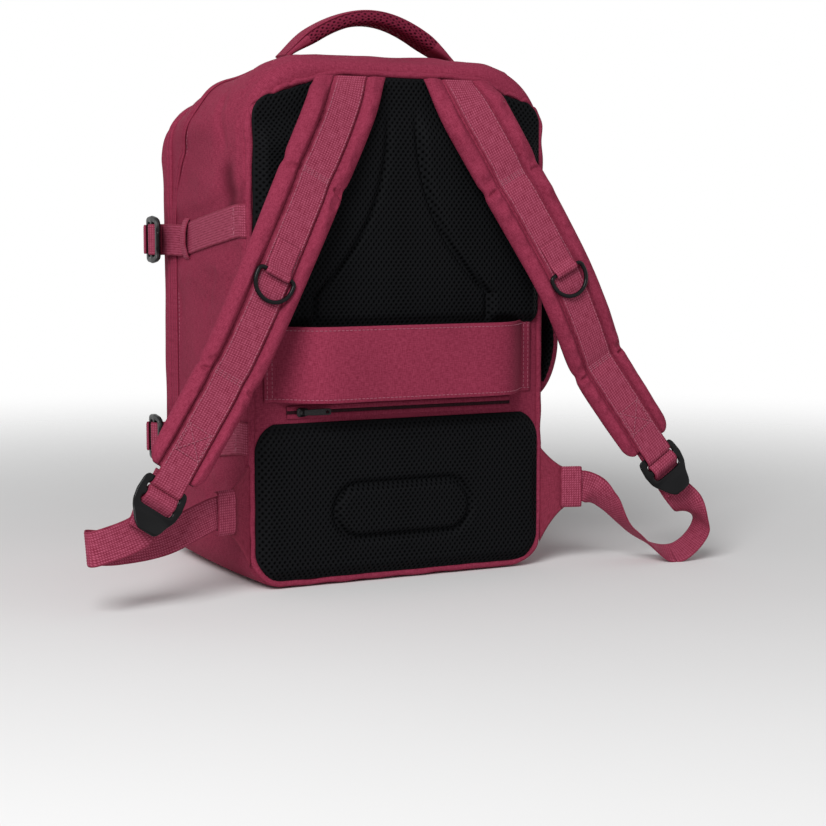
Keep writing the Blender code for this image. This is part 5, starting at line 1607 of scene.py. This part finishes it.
def make_handle(name, node, joint, along, out, span, rise, fullness, wrap, under):
    """An arch from seat to seat: rise x sine^fullness, thin where it is sewn, with mesh inside its middle.

    The mesh goes round the section from below, and up its near edge by the angle wrap, in degrees.
    """
    axis = np.array(joints[joint]["pos_m"], float)
    along, out = np.array(along, float), np.array(out, float)
    across = np.cross(along, out)
    share = (1 - np.cos(np.pi * np.arange(HANDLE_STEPS + 1) / HANDLE_STEPS)) / 2
    climb = (rise + HANDLE_SEAT) * np.sin(np.pi * share) ** fullness
    path = axis + along * (span * (share - 0.5))[:, None] + out * (climb - HANDLE_SEAT)[:, None]
    ahead = unit(np.gradient(path, axis=0))
    normal = np.cross(across, ahead)
    w = (HANDLE_HALF * (HANDLE_ROOT + HANDLE_REST * smooth(climb / WIDEN)))[:, None]
    t = (HANDLE_SEWN + (HANDLE_THICK - HANDLE_SEWN) * smooth(climb / THICKEN))[:, None]
    angle = turn(0, 360, HANDLE_COLUMNS)
    s, n = np.cos(angle), np.sin(angle)
    s = np.sign(s) * np.abs(s) ** ACROSS_POWER
    flat = np.sign(n) * np.abs(n) ** UP_POWER
    edge = 1 - GRIP_SEAM * bell(angle - math.radians(wrap), GRIP_SEAM_WIDTH)
    section = np.stack([s * w * edge, t * flat * edge], -1)
    girth = run_of(section[HANDLE_STEPS // 2])
    inside = (n < 0) | (angle < math.radians(wrap))
    meshed = inside & (climb > HANDLE_TAB)[:, None]
    hole_and_shade = dimples(girth, run_of(path)[:, None]) * meshed
    reach = np.linalg.norm(section, axis=-1, keepdims=True)
    section = section * (1 - GRIP_DIMPLE * hole_and_shade[..., None] / reach)
    points = carry(path, across + 0 * path, normal, section)
    # The holes' mark also paints shade into the holes of the mesh.
    grip = skin(name, points, [cloth, under], paint=meshed[:-1].astype(int), marks={"hole_and_shade": hole_and_shade})
    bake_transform(grip)
    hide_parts(node)
    print(grip.name, "blended,", len(grip.data.polygons), "faces")


make_handle("top_grip", "top_handle", "carry_handle_tip",
            (1, 0, 0), (0, 0, 1), 0.143, 0.0240, 0.92, 40, burgundy_mesh)
make_handle("side_grip", "side_handle", "grab_handle_tip",
            (0, 0, 1), (1, 0, 0), GRIP_SPAN, 0.014, 0.66, 0, black_mesh)

# %% The board behind the back
frame["nodes"]["frame_sheet"].data.materials.clear()
frame["nodes"]["frame_sheet"].data.materials.append(board)

# %% [markdown]
# ## Stitching
# Thread is what makes sewn things look sewn. A stitch is a short spindle that dips at both ends. Lines
# of stitches follow the hems of the sleeve, both edges of the webbing on the straps, the crossed boxes
# at its ends and the seam beside the main zip. All stitches that move together are one mesh.

# %% Stitches
STITCH_PITCH, STITCH_LENGTH, STITCH_RADIUS = 0.0034, 0.0025, 0.00030
SEAM_STITCH = 0.0062
ON_WEB, ON_CLOTH = 0.00015, 0.0001
WEB_EDGE, TACK_HALF, TACK_ROWS = 0.0108, 0.0115, (-0.0016, 0.0, 0.0016)
BOX_STATION, STRAP_BOX, SIDE_BOX = 7.05, (0.0095, 0.021), (0.0098, 0.014)
HEM, SLEEVE_ROWS, SLEEVE_ROW_END, SIDE_BOX_IN = 0.0028, (0.0022, 0.0062), 0.003, 0.003


def sew(name, body, lines):
    """Stitches along several (path, way out) lines, as one piece on a body."""
    middles, ahead, out = gather(lines, STITCH_PITCH)
    piece = spindles(name, middles, ahead, out, STITCH_LENGTH, STITCH_RADIUS, thread)
    dress(piece, body, "webbing")
    print(len(middles), "stitches")


def box_cross(middle, across, ahead, out, half, length):
    """The five lines of a box with a cross in it, on a flat place."""
    box = np.array([(-half, 0), (half, 0), (half, length), (-half, length), (-half, 0)], float)
    cross = [box[[0, 2]], box[[1, 3]]]
    return [(middle + line[:, :1] * across + line[:, 1:] * ahead, out) for line in (box, *cross)]


for name, side in SIDES:
    number, middle, ahead, across, out = strap_lines(side)
    face = middle + out * (web_height(number) + WEB_THICK / 2 + ON_WEB)[:, None]
    sewn = slice(8, -4)
    lines = [(face[sewn] + across[sewn] * shift, out[sewn]) for shift in (-WEB_EDGE, WEB_EDGE)]
    for tack in BAR_TACKS:
        at = round(tack * STRAP_FINE)
        for shift in TACK_ROWS:
            ends = np.array([[-TACK_HALF], [TACK_HALF]]) * across[at] + face[at] + ahead[at] * shift
            lines.append((ends, out[at]))
    at = round(BOX_STATION * STRAP_FINE)
    lines += box_cross(face[at], across[at], ahead[at], out[at], *STRAP_BOX)
    sew(f"{name}_strap_stitches", f"{name}_strap", lines)

sleeve_run = evenly(0.002, sleeve_path)[0]
sleeve_up = np.cross(unit(np.gradient(sleeve_run, axis=0)), UP)
sleeve_out = sleeve_up * np.sign(-sleeve_up[:, 1:2] + 1e-9)
lines = []
for edge in (-1, 1):
    share = edge * (SLEEVE_WIDTH / 2 - HEM) / (SLEEVE_WIDTH / 2)
    sag = sleeve_sag(run_of(sleeve_run), share)[:, None]
    face = sleeve_run + sleeve_up * sag + sleeve_out * (SLEEVE_THICK / 2 + ON_CLOTH)
    lines.append((face + np.array([0, 0, share * SLEEVE_WIDTH / 2]), sleeve_out))
for edge in (-1, 1):
    for inset in SLEEVE_ROWS:
        x, y = edge * (sleeve_high[0] - inset), sleeve_near - SLEEVE_THICK / 2 - ON_CLOTH
        ends = (sleeve_low[2] + SLEEVE_ROW_END, sleeve_high[2] - SLEEVE_ROW_END)
        lines.append((np.array([(x, y, z) for z in ends]), np.array([0.0, -1.0, 0.0])))
beside = np.sign(seam_side[:1, 1:2]) * seam_side * SEAM_STITCH
lines.append((seam_path - beside + seam_out * ON_CLOTH, seam_out))
for name, side in SIDES:
    for level, z in STRAP_HEIGHTS.items():
        y = STRAP_START + SIDE_BOX_IN
        middle = np.array([side * (half_width(y) + GAP + WEB_THICK + ON_CLOTH), y, strap_middle(y, z)])
        lines += box_cross(middle, UP, FRONTWARDS, np.array([float(side), 0, 0]), *SIDE_BOX)
sew("pack_stitches", "pack", lines)

# %% [markdown]
# ## Stage, light and camera
# The pack stands on a pale floor in soft daylight from the camera's left, with a weaker light from the
# right to open the shadows. The background is white only for rays from the camera and for
# reflections, so it doesn't add light to the cloth. The camera looks from the left of the harness.

# %% Stage
FLOOR_HALF, FLOOR_FADE, FLOOR_LINES = 1.6, 0.25, 9
FLOOR_TONES = ((0.88, 0.88, 0.88, 1), (0.92, 0.92, 0.92, 1))
SKY_STRENGTH = 0.30
WHITE = (1, 1, 1, 1)


def studio_floor():
    """A pale floor that fades out with the distance from the pack, so that no horizon shows."""
    side = np.linspace(-FLOOR_HALF, FLOOR_HALF, FLOOR_LINES)
    x, y = np.meshgrid(side, side)
    points = np.stack([x, y, 0 * x], axis=-1).reshape(-1, 3)
    mesh = bpy.data.meshes.new("floor")
    mesh.from_pydata(points.tolist(), [], quads_of(np.arange(x.size).reshape(x.shape)).tolist())
    finish, tree, surface = new_finish("studio_floor", 0.9, {"Specular IOR Level": 0.0})
    where = add(tree, "TexCoord").outputs["Object"]
    coloured(tree, surface, noise(tree, where, 3.0), *FLOOR_TONES)
    away = add(tree, "VectorMath", {0: where}, operation="LENGTH").outputs["Value"]
    limits = {"Value": away, "From Min": FLOOR_FADE, "From Max": FLOOR_HALF, "To Min": 1.0, "To Max": 0.0}
    fade = add(tree, "MapRange", limits, interpolation_type="SMOOTHSTEP")
    tree.links.new(fade.outputs[0], surface.inputs["Alpha"])
    place("floor", mesh, [finish])


def studio_sky():
    """Even light from all round, and plain white for camera, glossy and transmission rays."""
    world = bpy.data.worlds.new("studio")
    bpy.context.scene.world = world
    world.use_nodes = True
    tree = world.node_tree
    soft = tree.nodes["Background"]
    soft.inputs["Color"].default_value = WHITE
    soft.inputs["Strength"].default_value = SKY_STRENGTH
    white = add(tree, "Background", {"Color": WHITE, "Strength": 1.0})
    path = add(tree, "LightPath").outputs
    seen = maths(tree, "MAXIMUM", path["Is Camera Ray"], path["Is Glossy Ray"])
    seen = maths(tree, "MAXIMUM", seen, path["Is Transmission Ray"])
    mixed = add(tree, "MixShader", {0: seen, 1: soft.outputs[0], 2: white.outputs[0]})
    tree.links.new(mixed.outputs[0], tree.nodes["World Output"].inputs["Surface"])


def lamp(name, place_at, target, size, power):
    """A square soft lamp that faces a target."""
    light = bpy.data.lights.new(name, "AREA")
    light.size, light.energy = size, power
    piece = bpy.data.objects.new(name, light)
    piece.location = place_at
    piece.rotation_euler = (Vector(target) - Vector(place_at)).to_track_quat("-Z", "Y").to_euler()
    bpy.context.scene.collection.objects.link(piece)


studio_floor()
studio_sky()
lamp("key", (-1.3, -1.5, 1.5), (0, 0, 0.22), 1.1, 43)
lamp("fill", (0.9, -1.9, 0.8), (0, 0, 0.2), 1.2, 0.6)

# %% Camera
CAMERA_PLACE = (-0.641, -1.369, 0.277)
CAMERA_PITCH = math.radians(-5.9)
CAMERA_HEADING = (0.454, 0.891)
CAMERA_LENS, CAMERA_SENSOR = 81, 36
camera = bpy.data.objects.new("camera", bpy.data.cameras.new("camera"))
camera.data.lens = CAMERA_LENS
camera.data.sensor_width = CAMERA_SENSOR
camera.location = CAMERA_PLACE
level = Vector((*CAMERA_HEADING, 0)).normalized()
ahead = level * math.cos(CAMERA_PITCH) + Vector((0, 0, math.sin(CAMERA_PITCH)))
camera.rotation_euler = ahead.to_track_quat("-Z", "Y").to_euler()
bpy.context.scene.collection.objects.link(camera)
bpy.context.scene.camera = camera
bpy.context.scene.view_settings.view_transform = "Standard"
